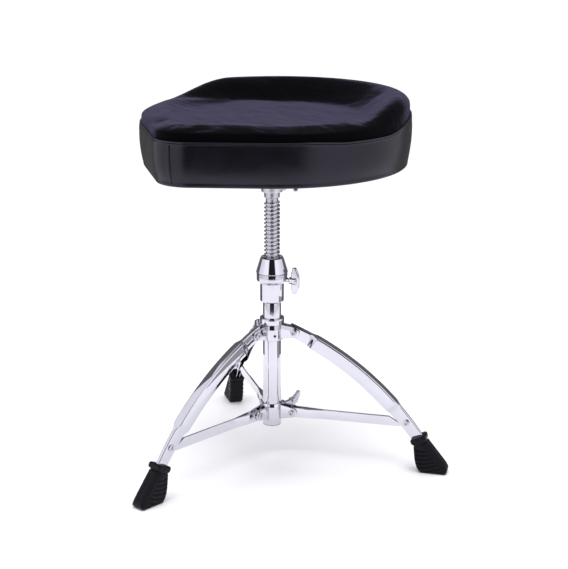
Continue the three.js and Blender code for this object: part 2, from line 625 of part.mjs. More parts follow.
screwPlaces.forEach(([x, y], i) => {
  const head = SEAT.boardBottom - GAP - BRACKET.plateThickness - GAP;
  const screw = turned([
    [0, head - 3.6], [3.5, head - 3.4], [5.5, head - 1.6], [5.5, head],
    [3, head], [3, SEAT.boardBottom + 9], [0, SEAT.boardBottom + 9],
  ], 16).translate(x, y, 0);
  addPiece(`bracket_screw_${i + 1}`, screw.rotateZ(SCREW_TURN * DEGREE), threadSteel(), seatAzimuth);
});

export default throne;
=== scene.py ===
"""Drum throne: the looks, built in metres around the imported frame.

Shapes are drawn in millimetres in a frame of their own (r out from the column, z up) and placed from the
frame's boxes and joints.
"""

import json
import math
from types import SimpleNamespace as Sizes

import bmesh
import bpy
import numpy as np
from mathutils import Matrix, Vector, noise


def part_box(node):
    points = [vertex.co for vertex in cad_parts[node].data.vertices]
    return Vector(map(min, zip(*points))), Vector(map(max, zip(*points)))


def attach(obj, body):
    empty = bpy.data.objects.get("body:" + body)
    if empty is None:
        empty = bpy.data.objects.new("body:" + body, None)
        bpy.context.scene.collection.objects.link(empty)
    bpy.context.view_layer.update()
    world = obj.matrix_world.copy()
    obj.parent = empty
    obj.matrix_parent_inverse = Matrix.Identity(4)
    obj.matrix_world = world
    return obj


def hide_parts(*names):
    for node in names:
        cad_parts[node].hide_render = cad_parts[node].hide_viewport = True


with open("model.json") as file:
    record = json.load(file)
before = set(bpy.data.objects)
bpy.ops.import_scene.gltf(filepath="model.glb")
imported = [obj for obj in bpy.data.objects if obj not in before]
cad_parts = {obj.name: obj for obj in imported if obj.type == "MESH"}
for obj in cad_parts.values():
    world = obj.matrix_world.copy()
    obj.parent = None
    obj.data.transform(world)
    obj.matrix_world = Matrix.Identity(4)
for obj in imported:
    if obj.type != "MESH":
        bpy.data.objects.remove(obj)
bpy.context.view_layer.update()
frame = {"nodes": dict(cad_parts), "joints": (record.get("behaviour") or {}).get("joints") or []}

MM = 0.001

# ---- Places that come from the frame ---------------------------------------------------------


def middle(node):
    low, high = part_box(node)
    return (low + high) / 2


COLUMN = Vector((middle("base_tube").x, middle("base_tube").y, 0))
JOINTS = {joint["name"]: joint for joint in frame["joints"]}


def from_column(point):
    """Millimetres out from the column axis, and height."""
    x, y, z = (Vector(point) - COLUMN) / MM
    return math.hypot(x, y), z


def reach(node):
    """The node's greatest distance from the column axis, in millimetres."""
    return max(from_column(v.co)[0] for v in frame["nodes"][node].data.vertices)


def heights(node):
    low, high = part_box(node)
    return low.z / MM, high.z / MM


def azimuth_of(point):
    x, y, _ = Vector(point) - COLUMN
    return math.degrees(math.atan2(y, x))


LEG_NAMES = ("front", "right", "left")
LEG_AZIMUTH = {name: azimuth_of(JOINTS[f"leg_{name}_fold"]["pos_m"]) for name in LEG_NAMES}
HUB_PIVOT = from_column(JOINTS["leg_front_fold"]["pos_m"])
COLLAR_PIVOT = from_column(JOINTS["brace_front_fold"]["pos_m"])
BRACE_PIVOT = from_column(middle("brace_rivet_front_a"))


def bolt_place(joint):
    """A wing bolt's azimuth and height."""
    x, y, _ = JOINTS[joint]["axis"]
    return math.degrees(math.atan2(y, x)), JOINTS[joint]["pos_m"][2] / MM


LOCK_PLACE = bolt_place("height_lock_turn")
SEAT_CLAMP_PLACE = bolt_place("seat_clamp_turn")
COLLAR_CLAMP_PLACE = bolt_place("collar_clamp_turn")

# ---- Dimensions that the frame's boxes don't give, in millimetres ------------------------------

PIVOT_RADIUS = 3
BOLT_RADIUS = 4
CLEARANCE = 0.3

# The outer face of a leg's web follows this circle in the leg's own plane.
LEG = Sizes(
    arc_r=-135, arc_z=-205.7, arc_radius=470,
    top_angle=69.1, bottom_angle=31.9, upper_shoulder=63.8, lower_shoulder=42.6,
    shoulder_span=1.5, narrow=3.8, wide=8.75, wall=1.6,
    top_depth=21, mid_depth=22.5, bottom_depth=18.5,
)
BRACE = Sizes(
    half_width=5.5, height=16, wall=1.3, inner_fork=13,
    taper_start=22, taper_end=52, tongue_half=1.85, tongue_top_end=160, tongue_end=182,
)
FOOT_HALF_WIDTH = 13
FOOT = Sizes(
    heel=251, sole_end=287, toe=(286, 20.3), slope_top=(262.5, 49),
    mouth_inner=(231.5, 54), mouth_outer=(256.5, 65), rim_height=10.5,
    strip=8.5, chamfer=7, groove_centre=(252, 57), first_groove=20, groove_spacing=7,
    groove_depth=2.3,
)
THREAD = Sizes(crest=12.7, root=10.1, pitch=6.35, bottom=226, top=433)
SPINDLE = Sizes(stub=8, stub_top=218, neck_top=440.5, boss=12.6, boss_top=492)
SEAT_DIRECTION = 94.6
SEAT = Sizes(
    main_radius=212, main_centre=8.5, nose_radius=60, nose_centre=-181,
    front_crest=582.3, back_crest=606.5, nose_seam=561, side_seam=557.5, back_seam=574.5,
    floor=570.5, roll=21, rim_width=64, band_taper=4.5,
)

# ---- Mesh making -------------------------------------------------------------------------------


def rounded(corners, closed=False, steps=5):
    """Points of an outline of (x, y, radius) corners, with an arc at each corner that has a radius."""
    points = []
    count = len(corners)
    for i, (x, y, radius) in enumerate(corners):
        here = Vector((x, y))
        if radius == 0 or (not closed and i in (0, count - 1)):
            points.append((x, y))
            continue
        before = Vector(corners[i - 1][:2]) - here
        after = Vector(corners[(i + 1) % count][:2]) - here
        half = before.angle(after) / 2
        back = min(radius / math.tan(half), 0.49 * before.length, 0.49 * after.length)
        radius = back * math.tan(half)
        centre = here + (before.normalized() + after.normalized()).normalized() * (radius / math.sin(half))
        start = here + before.normalized() * back - centre
        end = here + after.normalized() * back - centre
        first = math.atan2(start.y, start.x)
        sweep = (math.atan2(end.y, end.x) - first + math.pi) % (2 * math.pi) - math.pi
        for k in range(steps + 1):
            angle = first + sweep * k / steps
            points.append((centre.x + radius * math.cos(angle), centre.y + radius * math.sin(angle)))
    return points


def placed(name, data):
    """A new object in the scene."""
    thing = bpy.data.objects.new(name, data)
    bpy.context.scene.collection.objects.link(thing)
    return thing


def finished(bm, name="part"):
    mesh = bpy.data.meshes.new(name)
    bm.to_mesh(mesh)
    bm.free()
    return mesh


def mesh_of(bm):
    """A mesh with its normals pointing out."""
    bmesh.ops.remove_doubles(bm, verts=bm.verts, dist=1e-4)
    bmesh.ops.recalc_face_normals(bm, faces=bm.faces)
    return finished(bm)


def skin(rings, closed_path=False, caps=True):
    """A mesh over rings of points. Each ring is closed; the path of rings may be closed too."""
    bm = bmesh.new()
    verts = [[bm.verts.new(p) for p in ring] for ring in rings]
    count = len(verts[0])
    last = len(verts) if closed_path else len(verts) - 1
    for i in range(last):
        here, there = verts[i], verts[(i + 1) % len(verts)]
        for j in range(count):
            k = (j + 1) % count
            bm.faces.new((here[j], here[k], there[k], there[j]))
    if caps and not closed_path:
        bm.faces.new(verts[0])
        bm.faces.new(verts[-1])
    return mesh_of(bm)


def turned(profile, segments=96):
    """A profile of (radius, z) points turned about the z axis. It ends on the axis or closes on itself."""
    on_axis = profile[0][0] == 0
    bm = bmesh.new()
    rings = []
    for radius, z in profile:
        if radius == 0:
            rings.append([bm.verts.new((0, 0, z))] * segments)
            continue
        turns = (2 * math.pi * j / segments for j in range(segments))
        rings.append([bm.verts.new((radius * math.cos(a), radius * math.sin(a), z)) for a in turns])
    pairs = list(zip(rings, rings[1:]))
    if not on_axis:
        pairs.append((rings[-1], rings[0]))
    for here, there in pairs:
        for j in range(segments):
            k = (j + 1) % segments
            corners = list(dict.fromkeys((here[j], here[k], there[k], there[j])))
            if len(corners) > 2:
                bm.faces.new(corners)
    return mesh_of(bm)


def prism(outline, low, high):
    """An outline in the x-z plane, extruded along y."""
    return skin([[(x, y, z) for x, z in outline] for y in (low, high)])


def slab(outline, low, high):
    """An outline in the x-y plane, extruded along z."""
    return skin([[(x, y, z) for x, y in outline] for z in (low, high)])


def block(x0, x1, y0, y1, z0, z1):
    return prism([(x0, z0), (x1, z0), (x1, z1), (x0, z1)], y0, y1)


def rod(radius, x0, x1, z=0.0, segments=48, edge=0.0):
    """A round rod along x, at height z, with its end edges rounded."""
    mesh = turned(rounded([(0, x0, 0), (radius, x0, edge), (radius, x1, edge), (0, x1, 0)]), segments)
    mesh.transform(Matrix.Translation((0, 0, z)) @ Matrix.Rotation(math.pi / 2, 4, "Y"))
    return mesh


def turned_copy(mesh, azimuth):
    copy = mesh.copy()
    copy.transform(Matrix.Rotation(math.radians(azimuth), 4, "Z"))
    return copy


def with_modifiers(thing):
    """The mesh that an object's modifiers make. The object is used up."""
    bpy.context.view_layer.update()
    evaluated = thing.evaluated_get(bpy.context.evaluated_depsgraph_get())
    mesh = bpy.data.meshes.new_from_object(evaluated)
    bpy.data.objects.remove(thing)
    return mesh


def combined(base, added=(), cuts=(), within=()):
    """Solids joined to a base solid, others cut from it, and others that it is trimmed to."""
    thing = placed("tool", base)
    tools = []
    for meshes, operation in ((within, "INTERSECT"), (added, "UNION"), (cuts, "DIFFERENCE")):
        for mesh in meshes:
            tools.append(placed("tool", mesh))
            modifier = thing.modifiers.new("join", "BOOLEAN")
            modifier.operation = operation
            modifier.solver = "EXACT"
            modifier.object = tools[-1]
    mesh = with_modifiers(thing)
    for tool in tools:
        bpy.data.objects.remove(tool)
    return mesh


def modified(mesh, kind, **settings):
    """The mesh that one modifier makes."""
    thing = placed("tool", mesh)
    modifier = thing.modifiers.new("step", kind)
    for name, value in settings.items():
        setattr(modifier, name, value)
    return with_modifiers(thing)


def bevelled(mesh, width, segments=3, angle=30):
    limit = {"limit_method": "ANGLE", "angle_limit": math.radians(angle)}
    return modified(mesh, "BEVEL", width=width, segments=segments, **limit)


def vectors(mesh, kind="co"):
    """The places of a mesh's points, or their normals."""
    values = np.empty(len(mesh.vertices) * 3)
    mesh.vertices.foreach_get(kind, values)
    return values.reshape(-1, 3)


def move_to(mesh, points):
    mesh.vertices.foreach_set("co", np.asarray(points).ravel())
    mesh.update()


def add_piece(name, mesh, material, body, replaced=(), azimuth=0, sharp=35):
    """A finished piece: drawn in millimetres about the column, turned to its azimuth, riding on a body."""
    mesh = mesh.copy()
    mesh.name = name
    place = Matrix.Translation(COLUMN) @ Matrix.Rotation(math.radians(azimuth), 4, "Z") @ Matrix.Scale(MM, 4)
    mesh.transform(place)
    mesh.shade_smooth()
    if sharp < 180:
        mesh.set_sharp_from_angle(angle=math.radians(sharp))
    mesh.materials.clear()
    mesh.materials.append(material)
    piece = placed(name, mesh)
    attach(piece, body)
    if replaced:
        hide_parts(*replaced)
    return piece


def smoothstep(x, start, end):
    t = np.clip((x - start) / (end - start), 0, 1)
    return t * t * (3 - 2 * t)


# ---- Materials ---------------------------------------------------------------------------------


class Nodes:
    """Short calls for a node tree."""

    def __init__(self, tree):
        self.tree = tree

    def node(self, kind, inputs=(), **settings):
        """A new node. Each input is given as a socket and its value, or the output that feeds it."""
        made = self.tree.nodes.new(kind)
        for name, value in settings.items():
            setattr(made, name, value)
        for socket, value in inputs:
            if isinstance(value, bpy.types.NodeSocket):
                self.tree.links.new(value, made.inputs[socket])
            else:
                made.inputs[socket].default_value = value
        return made

    def ramp(self, value, start, end, low=0.0, high=1.0):
        inputs = [("Value", value), ("From Min", start), ("From Max", end), ("To Min", low), ("To Max", high)]
        return self.node("ShaderNodeMapRange", inputs, interpolation_type="SMOOTHSTEP").outputs["Result"]

    def math(self, operation, a, b=0.0):
        return self.node("ShaderNodeMath", [(0, a), (1, b)], operation=operation).outputs[0]

    def dot(self, a, b):
        return self.node("ShaderNodeVectorMath", [(0, a), (1, b)], operation="DOT_PRODUCT").outputs["Value"]

    def blend(self, share, a, b):
        kept = self.math("MULTIPLY", a, self.math("SUBTRACT", 1.0, share))
        return self.math("ADD", kept, self.math("MULTIPLY", b, share))


class Surface(Nodes):
    """A Principled material, with short calls for the textures that vary it. Sizes are in metres."""

    def __init__(self, name, **values):
        self.material = bpy.data.materials.new(name)
        self.material.use_nodes = True
        super().__init__(self.material.node_tree)
        self.shader = self.tree.nodes["Principled BSDF"]
        self.point = self.node("ShaderNodeTexCoord").outputs["Object"]
        for socket, value in values.items():
            self.shader.inputs[socket.replace("_", " ")].default_value = value

    def feed(self, output, socket):
        self.tree.links.new(output, self.shader.inputs[socket])

    def stretched(self, scale):
        return self.node("ShaderNodeMapping", [("Vector", self.point), ("Scale", scale)]).outputs["Vector"]

    def noise(self, size, detail=3.0, roughness=0.55, stretch=(1, 1, 1), distortion=0.0):
        """Noise whose features are about size metres across, from 0 to 1."""
        inputs = [("Vector", self.stretched(stretch)), ("Scale", 1 / size), ("Detail", detail),
                  ("Roughness", roughness), ("Distortion", distortion)]
        return self.node("ShaderNodeTexNoise", inputs).outputs["Fac"]

    def cells(self, size, feature):
        inputs = [("Vector", self.stretched((1, 1, 1))), ("Scale", 1 / size)]
        return self.node("ShaderNodeTexVoronoi", inputs, feature=feature).outputs["Distance"]

    def colour(self, value, low, high):
        """Blends two colours into the base colour."""
        made = self.node("ShaderNodeMix", [("Factor", value)], data_type="RGBA")
        colours = [s for s in made.inputs if s.type == "RGBA"]
        colours[0].default_value = (*low, 1)
        colours[1].default_value = (*high, 1)
        self.feed([s for s in made.outputs if s.type == "RGBA"][0], "Base Color")

    def roughness(self, value):
        self.feed(value, "Roughness")

    def bump(self, height, distance, strength=1.0, under=None):
        inputs = [("Height", height), ("Distance", distance), ("Strength", strength)]
        if under is not None:
            inputs.append(("Normal", under))
        made = self.node("ShaderNodeBump", inputs)
        self.feed(made.outputs["Normal"], "Normal")
        return made.outputs["Normal"]


def polished_chrome():
    """Bright plating: a cool tint that drifts a little, faint polishing haze and dust."""
    s = Surface("polished_chrome", Metallic=1.0)
    s.colour(s.noise(0.05, 2), (0.585, 0.58, 0.64), (0.66, 0.655, 0.715))
    s.roughness(s.ramp(s.noise(0.012, 4, 0.7), 0.35, 0.75, 0.03, 0.09))
    s.bump(s.noise(0.0035, 2), 0.00002, 0.25)
    return s.material


def cast_chrome(name="cast_chrome", low=0.04, high=0.12):
    """Plating over a casting: the same colour with the casting's soft ripple under it."""
    s = Surface(name, Metallic=1.0)
    s.colour(s.noise(0.03, 3), (0.57, 0.565, 0.625), (0.66, 0.655, 0.715))
    s.roughness(s.ramp(s.noise(0.008, 4, 0.7), 0.3, 0.8, low, high))
    s.bump(s.noise(0.006, 2), 0.00006, 0.3)
    return s.material


def zinc_steel():
    """Machined, zinc-plated steel with turning marks round the axis."""
    s = Surface("zinc_steel", Metallic=1.0)
    s.colour(s.noise(0.02, 4), (0.50, 0.495, 0.55), (0.62, 0.615, 0.67))
    marks = s.noise(0.0012, 2, stretch=(0.3, 0.3, 3))
    s.roughness(s.ramp(s.noise(0.006, 3), 0.3, 0.8, 0.22, 0.34))
    s.bump(marks, 0.00003, 0.4)
    return s.material


def black_steel():
    """Blackened spring steel with worn spots."""
    s = Surface("black_steel", Metallic=1.0)
    s.colour(s.ramp(s.noise(0.002, 3), 0.5, 0.8), (0.02, 0.02, 0.023), (0.12, 0.12, 0.13))
    s.roughness(s.ramp(s.noise(0.001, 3), 0.3, 0.8, 0.3, 0.5))
    s.bump(s.noise(0.0006, 2), 0.00003, 0.3)
    return s.material


def moulded_rubber():
    """Black rubber: fine mould texture, greyer where it is scuffed and dusty."""
    s = Surface("moulded_rubber", Specular_IOR_Level=0.18, Specular_Tint=(0.88, 0.86, 1.0, 1))
    scuff = s.ramp(s.noise(0.014, 5, 0.7), 0.5, 0.85)
    s.colour(scuff, (0.0022, 0.0021, 0.0030), (0.008, 0.0077, 0.010))
    s.roughness(s.ramp(s.noise(0.006, 3), 0.3, 0.8, 0.36, 0.55))
    fine = s.bump(s.noise(0.0009, 3), 0.0001, 0.4)
    s.bump(s.noise(0.005, 2), 0.0004, 0.25, under=fine)
    return s.material


def black_nylon():
    s = Surface("black_nylon")
    s.colour(s.noise(0.01, 3), (0.018, 0.018, 0.02), (0.035, 0.035, 0.038))
    s.roughness(s.ramp(s.noise(0.004, 3), 0.3, 0.8, 0.35, 0.55))
    s.bump(s.noise(0.001, 2), 0.00005, 0.4)
    return s.material


def painted_board():
    """Plywood stained black: grain along the seat, with paler fibres."""
    s = Surface("painted_board", Specular_IOR_Level=0.3)
    grain = s.noise(0.006, 5, 0.65, stretch=(1, 0.08, 1), distortion=0.4)
    s.colour(s.ramp(grain, 0.4, 0.75), (0.012, 0.011, 0.010), (0.045, 0.04, 0.034))
    s.roughness(s.ramp(grain, 0.3, 0.8, 0.6, 0.85))
    s.bump(grain, 0.0003, 0.5)
    return s.material


def velvet():
    """Black pile with soft brushed streaks; a painted sheen in its base colour makes it dark face on and
    lilac-grey at a low angle.
    """
    s = Surface(
        "velvet", Specular_IOR_Level=0.05, Sheen_Weight=0.05, Sheen_Roughness=0.4,
        Sheen_Tint=(0.72, 0.68, 0.95, 1),
    )
    streaks = s.noise(0.03, 5, 0.6, stretch=(0.45, 1.3, 1), distortion=1.2)
    soft = s.bump(s.noise(0.03, 3, 0.5, stretch=(0.5, 1.2, 1), distortion=0.8), 0.004, 0.5)
    # Painted sheen: the base colour brightens from near black face on to lilac-grey where the pile is seen at
    # a low angle, broken up by the brushed streaks.
    weight = s.node("ShaderNodeLayerWeight", [("Blend", 0.5), ("Normal", soft)])
    grazing = s.ramp(weight.outputs["Facing"], 0.57, 0.84)
    painted_sheen = s.math("MULTIPLY", grazing, s.ramp(streaks, 0.25, 0.75, 0.7, 1.15))
    # The painted sheen's two colours: near black face on, lilac-grey at a low angle.
    s.colour(painted_sheen, (0.0008, 0.0008, 0.0012), (0.029, 0.0265, 0.048))
    s.roughness(s.ramp(streaks, 0.3, 0.8, 0.98, 0.85))
    s.bump(s.noise(0.0007, 2, 0.7), 0.00025, 0.4, under=soft)
    return s.material


def leather(name="leather", low=0.27, high=0.35):
    """Black upholstery leather: pebble grain, fine pores and a slow change of gloss."""
    s = Surface(name, Specular_IOR_Level=0.46, Specular_Tint=(0.82, 0.80, 1.0, 1))
    s.colour(s.noise(0.06, 4), (0.0025, 0.0023, 0.0036), (0.0055, 0.005, 0.0075))
    s.roughness(s.ramp(s.noise(0.03, 4), 0.3, 0.8, low, high))
    pebbles = s.bump(s.cells(0.0016, "SMOOTH_F1"), 0.00014, 0.3)
    s.bump(s.noise(0.0007, 2), 0.00005, 0.3, under=pebbles)
    return s.material


CHROME = polished_chrome()
CAST = cast_chrome()
SATIN_CAST = cast_chrome("satin_casting", 0.28, 0.38)
ZINC = zinc_steel()
BLACK_STEEL = black_steel()
RUBBER = moulded_rubber()
NYLON = black_nylon()
BOARD = painted_board()
VELVET = velvet()
LEATHER = leather()
PIPING = leather("piping_leather", 0.22, 0.3)

# ---- Column ------------------------------------------------------------------------------------


def ring_profile(inner, outer, low, high, edge):
    corners = [(inner, low, 0), (outer, low, edge), (outer, high, edge), (inner, high, 0)]
    return rounded(corners, closed=True)


def base_tube():
    low, high = heights("base_tube")
    radius = reach("base_tube")
    mesh = turned(ring_profile(radius - 1.5, radius, low, high, 0.5))
    add_piece("column_tube", mesh, CHROME, "base", ["base_tube"])


def end_cap():
    low, high = heights("tube_end_cap")
    tube_bottom, _ = heights("base_tube")
    radius = reach("tube_end_cap")
    plug = radius - 1.8
    profile = rounded([
        (0, low, 0), (radius - 4, low, 2.4), (radius, low + 1.9, 1.2), (radius, tube_bottom - CLEARANCE, 0),
        (plug, tube_bottom - CLEARANCE, 0), (plug, high, 0.5), (0, high, 0),
    ])
    add_piece("column_end_cap", turned(profile), CHROME, "base", ["tube_end_cap"])


def sleeve():
    low, high = heights("tube_sleeve")
    radius = reach("tube_sleeve")
    inner = reach("base_tube") + CLEARANCE
    profile = rounded([
        (inner, low + 0.6, 0), (inner + 0.8, low, 0), (radius - 1.5, low, 0.8), (radius, low + 1.7, 0.8),
        (radius, high - 0.6, 0), (radius - 0.5, high, 0), (inner, high, 0),
    ], closed=True)
    add_piece("column_sleeve", turned(profile), CHROME, "base", ["tube_sleeve"])


def bolt_hole(place):
    azimuth, z = place
    return turned_copy(rod(BOLT_RADIUS + CLEARANCE, 5, 40, z), azimuth)


def nut_housing():
    """A ring with a chamfered foot, a fine groove, and a cone up to a countersunk bore."""
    low, high = heights("height_nut_housing")
    radius = reach("height_nut_housing")
    bore = THREAD.crest + 0.4
    groove = low + 16.4
    cone_foot = groove + 0.9
    profile = rounded([
        (bore, low, 0), (radius - 4.6, low, 0.6), (radius - 0.6, low + 4.2, 1.2),
        (radius - 0.6, groove - 0.5, 0.6), (radius - 2.2, groove, 0),
        (radius - 2.2, groove + 0.6, 0), (radius, cone_foot + 0.3, 0.4),
        (radius - 0.4, cone_foot + 1.4, 0.8), (radius - 7.2, high - 1.4, 1.2), (radius - 8.6, high, 0.8),
        (bore + 1.6, high, 0.4), (bore, high - 1.6, 0),
    ], closed=True, steps=6)
    mesh = combined(turned(profile), cuts=[bolt_hole(LOCK_PLACE)])
    add_piece("nut_housing", mesh, CAST, "base", ["height_nut_housing"])


def thread_profile():
    """Radius against share of the pitch: a rounded trapezoidal ridge."""
    root, crest = THREAD.root, THREAD.crest
    corners = [
        (0.0, root, 0), (0.12, root, 0.07), (0.30, crest, 0.09), (0.62, crest, 0.09), (0.80, root, 0.07),
    ]
    return rounded(corners, steps=2) + [(0.93, root)]


def spindle():
    """The threaded spindle: a helical skin cut off square at both ends, on turned ends."""
    low, _ = heights("threaded_spindle")
    pitch, segments = THREAD.pitch, 60
    profile = thread_profile()
    turns = math.ceil((THREAD.top - THREAD.bottom) / pitch) + 3
    rows = turns * len(profile)
    bm = bmesh.new()
    grid = []
    for i in range(rows):
        share, radius = profile[i % len(profile)]
        z = THREAD.bottom + (i // len(profile) - 2 + share) * pitch
        turning = [2 * math.pi * j / segments for j in range(segments)]
        grid.append([
            bm.verts.new((radius * math.cos(a), radius * math.sin(a), z + pitch * a / (2 * math.pi)))
            for a in turning
        ])

    def vertex(i, j):
        return grid[i][j] if j < segments else grid[i + len(profile)][0]

    for i in range(rows - len(profile) - 1):
        for j in range(segments):
            bm.faces.new((vertex(i, j), vertex(i, j + 1), vertex(i + 1, j + 1), vertex(i + 1, j)))
    for height, direction in ((THREAD.bottom, -1), (THREAD.top, 1)):
        everything = [*bm.verts, *bm.edges, *bm.faces]
        plane = {"plane_co": (0, 0, height), "plane_no": (0, 0, direction)}
        cut = bmesh.ops.bisect_plane(bm, geom=everything, clear_outer=True, **plane)
        rim = [e for e in cut["geom_cut"] if isinstance(e, bmesh.types.BMEdge)]
        bmesh.ops.contextual_create(bm, geom=rim)
    ridge = mesh_of(bm)
    lower = turned(rounded([
        (0, low, 0), (SPINDLE.stub, low, 0.6), (SPINDLE.stub, SPINDLE.stub_top, 0),
        (THREAD.root, SPINDLE.stub_top, 0.8), (THREAD.root, THREAD.bottom - 0.01, 0),
        (0, THREAD.bottom - 0.01, 0),
    ]))
    upper = turned(rounded([
        (0, THREAD.top + 0.01, 0), (THREAD.root, THREAD.top + 0.01, 0),
        (THREAD.root, SPINDLE.neck_top - 1.5, 0.8), (SPINDLE.boss, SPINDLE.neck_top, 0.8),
        (SPINDLE.boss, SPINDLE.boss_top, 0.8), (0, SPINDLE.boss_top, 0),
    ]))
    add_piece("spindle_thread", ridge, ZINC, "seat", ["threaded_spindle"])
    add_piece("spindle_lower_end", lower, ZINC, "seat")
    add_piece("spindle_neck", upper, ZINC, "seat")


# ---- Wing bolts --------------------------------------------------------------------------------


def wing_bolt(tip, hub_start, tilt=0.0):
    """A bolt along x: a shaft, a round hub and an oval wing that is thickest at the hub."""
    start = hub_start + 3
    end = start + 14
    span = 22
    outline = rounded([
        (start + 0.2, -13, 9), (start + 2.6, -span, 3.2), (start + 8.6, -span, 3.6), (end, -10, 12),
        (end, 10, 12), (start + 8.6, span, 3.6), (start + 2.6, span, 3.2), (start + 0.2, 13, 9),
    ], closed=True, steps=8)
    wing = bevelled(prism(outline, -2.9, 2.9), 2.2, 5)
    shaft = rod(BOLT_RADIUS, tip, hub_start + 4, edge=0.6)
    hub = rod(6.4, hub_start, end - 3.5, edge=2.2)
    mesh = combined(shaft, added=[hub, wing])
    mesh.transform(Matrix.Rotation(math.radians(tilt), 4, "X"))
    return mesh


def wing_bolts():
    bolts = [
        ("height_lock_bolt", "height_lock_wing_bolt", "lock_bolt", LOCK_PLACE, 13.4, 29.5, 0),
        ("seat_clamp_bolt", "seat_clamp_wing_bolt", "seat_clamp_bolt", SEAT_CLAMP_PLACE, 13.1, 28.5, 0),
        ("collar_clamp_bolt", "collar_wing_bolt", "collar_bolt", COLLAR_CLAMP_PLACE, 15.6, 44, 30),
    ]
    for name, node, body, (azimuth, z), tip, hub_start, tilt in bolts:
        mesh = wing_bolt(tip, hub_start, tilt)
        mesh.transform(Matrix.Translation((0, 0, z)))
        add_piece(name, mesh, CAST, body, [node], azimuth)


# ---- Tripod castings ---------------------------------------------------------------------------


def ears(pivot, inner, thickness, end_radius, root, root_low, root_high):
    """The two ears of a clevis along +x, with softened edges."""
    r, z = pivot
    tip = [
        (r + end_radius * math.cos(math.radians(a)), z + end_radius * math.sin(math.radians(a)))
        for a in range(-90, 91, 10)
    ]
    outline = [(root, root_low), *tip, (root, root_high)]
    spans = ((inner, inner + thickness), (-inner - thickness, -inner))
    return [bevelled(prism(outline, *span), 0.7) for span in spans]


def on_each_leg(meshes):
    return [turned_copy(mesh, LEG_AZIMUTH[name]) for name in LEG_NAMES for mesh in meshes]


def pivot_hole(pivot):
    mesh = rod(PIVOT_RADIUS + CLEARANCE, -20, 20, segments=32)
    mesh.transform(Matrix.Translation((pivot[0], 0, pivot[1])) @ Matrix.Rotation(math.pi / 2, 4, "Z"))
    return mesh


def leg_hub():
    low, high = heights("leg_hub")
    ring = reach("tube_sleeve") + 0.6
    bore = reach("base_tube") + 0.2
    body, neck, shoulder = 17.7, 16.2, high - 10
    barrel = turned(rounded([
        (bore, low, 0), (body, low, 0.9), (body, shoulder - 8.5, 1.0), (neck, shoulder, 0),
        (ring, shoulder, 0.8), (ring, high, 1.6), (bore, high, 0),
    ], closed=True, steps=6))
    clevises = on_each_leg(ears(HUB_PIVOT, LEG.narrow + 0.4, 3, 9, bore + 0.8, low + 2.5, shoulder - 1))
    pin_hole = turned_copy(rod(2 + CLEARANCE, 10, 30, low + 9), azimuth_of(middle("hub_pin")))
    holes = on_each_leg([pivot_hole(HUB_PIVOT)])
    mesh = combined(barrel, clevises, [pin_hole, *holes])
    add_piece("hub_casting", mesh, CAST, "base", ["leg_hub"])


def roll_pin():
    """The hub's spring pin: a blackened tube with a slot along it."""
    ends = [from_column(v.co)[0] for v in frame["nodes"]["hub_pin"].data.vertices]
    start, end = min(ends), max(ends)
    z = middle("hub_pin").z / MM
    pin = turned(rounded([(1.1, start, 0), (2, start, 0.3), (2, end, 0.3), (1.1, end, 0)], closed=True), 32)
    pin.transform(Matrix.Translation((0, 0, z)) @ Matrix.Rotation(math.pi / 2, 4, "Y"))
    pin = combined(pin, cuts=[block(start - 1, end + 1, -0.25, 0.25, z, z + 3)])
    azimuth = azimuth_of(middle("hub_pin"))
    add_piece("hub_roll_pin", pin, BLACK_STEEL, "base", ["hub_pin"], azimuth)


def brace_collar():
    low, high = heights("brace_collar")
    bore = reach("base_tube") + CLEARANCE
    body, neck = 17.6, 16.2
    barrel = turned(rounded([
        (bore, low, 0), (body, low, 1.2), (body, high - 5, 1.5), (neck, high, 0.8), (bore, high, 0),
    ], closed=True, steps=6))
    clevises = on_each_leg(
        ears(COLLAR_PIVOT, BRACE.half_width + 0.4, 2.6, 8.5, bore + 0.8, low + 2, high - 2)
    )
    azimuth, z = COLLAR_CLAMP_PLACE
    boss = bevelled(turned_copy(rod(7.5, bore + 1.5, 27, z), azimuth), 0.8)
    holes = on_each_leg([pivot_hole(COLLAR_PIVOT)])
    mesh = combined(barrel, [*clevises, boss], [bolt_hole(COLLAR_CLAMP_PLACE), *holes])
    add_piece("collar_casting", mesh, CAST, "collar", ["brace_collar"])


# ---- Legs, braces, rivets ------------------------------------------------------------------------


def leg_half_width(angle):
    half = LEG.shoulder_span / 2
    below = 1 - smoothstep(angle, LEG.upper_shoulder - half, LEG.upper_shoulder + half)
    above = smoothstep(angle, LEG.lower_shoulder - half, LEG.lower_shoulder + half)
    return LEG.narrow + (LEG.wide - LEG.narrow) * below * above


def leg_depth(angle):
    top = smoothstep(angle, LEG.upper_shoulder - 4, LEG.top_angle)
    bottom = 1 - smoothstep(angle, LEG.bottom_angle, LEG.lower_shoulder + 4)
    usual = LEG.mid_depth
    return usual + (LEG.top_depth - usual) * top + (LEG.bottom_depth - usual) * bottom


def leg_point(angle, y, depth):
    radius = LEG.arc_radius - depth
    turn = math.radians(angle)
    return LEG.arc_r + radius * math.cos(turn), y, LEG.arc_z + radius * math.sin(turn)


def channel_section(half, depth):
    """A channel's closed section of (y, depth) points, open on its inner side."""
    wall, bend = LEG.wall, 2.4
    inner = half - wall
    corners = [
        (-half, depth, 0.5), (-half, 0, bend), (half, 0, bend), (half, depth, 0.5),
        (inner, depth, 0.5), (inner, wall, bend - wall), (-inner, wall, bend - wall), (-inner, depth, 0.5),
    ]
    return rounded(corners, closed=True, steps=5)


def leg_channel():
    count = 150
    angles = np.linspace(LEG.top_angle, LEG.bottom_angle, count)
    rings = []
    for angle in angles:
        section = channel_section(leg_half_width(angle), leg_depth(angle))
        rings.append([leg_point(angle, y, depth) for y, depth in section])
    return combined(skin(rings), cuts=[pivot_hole(HUB_PIVOT), pivot_hole(BRACE_PIVOT)])


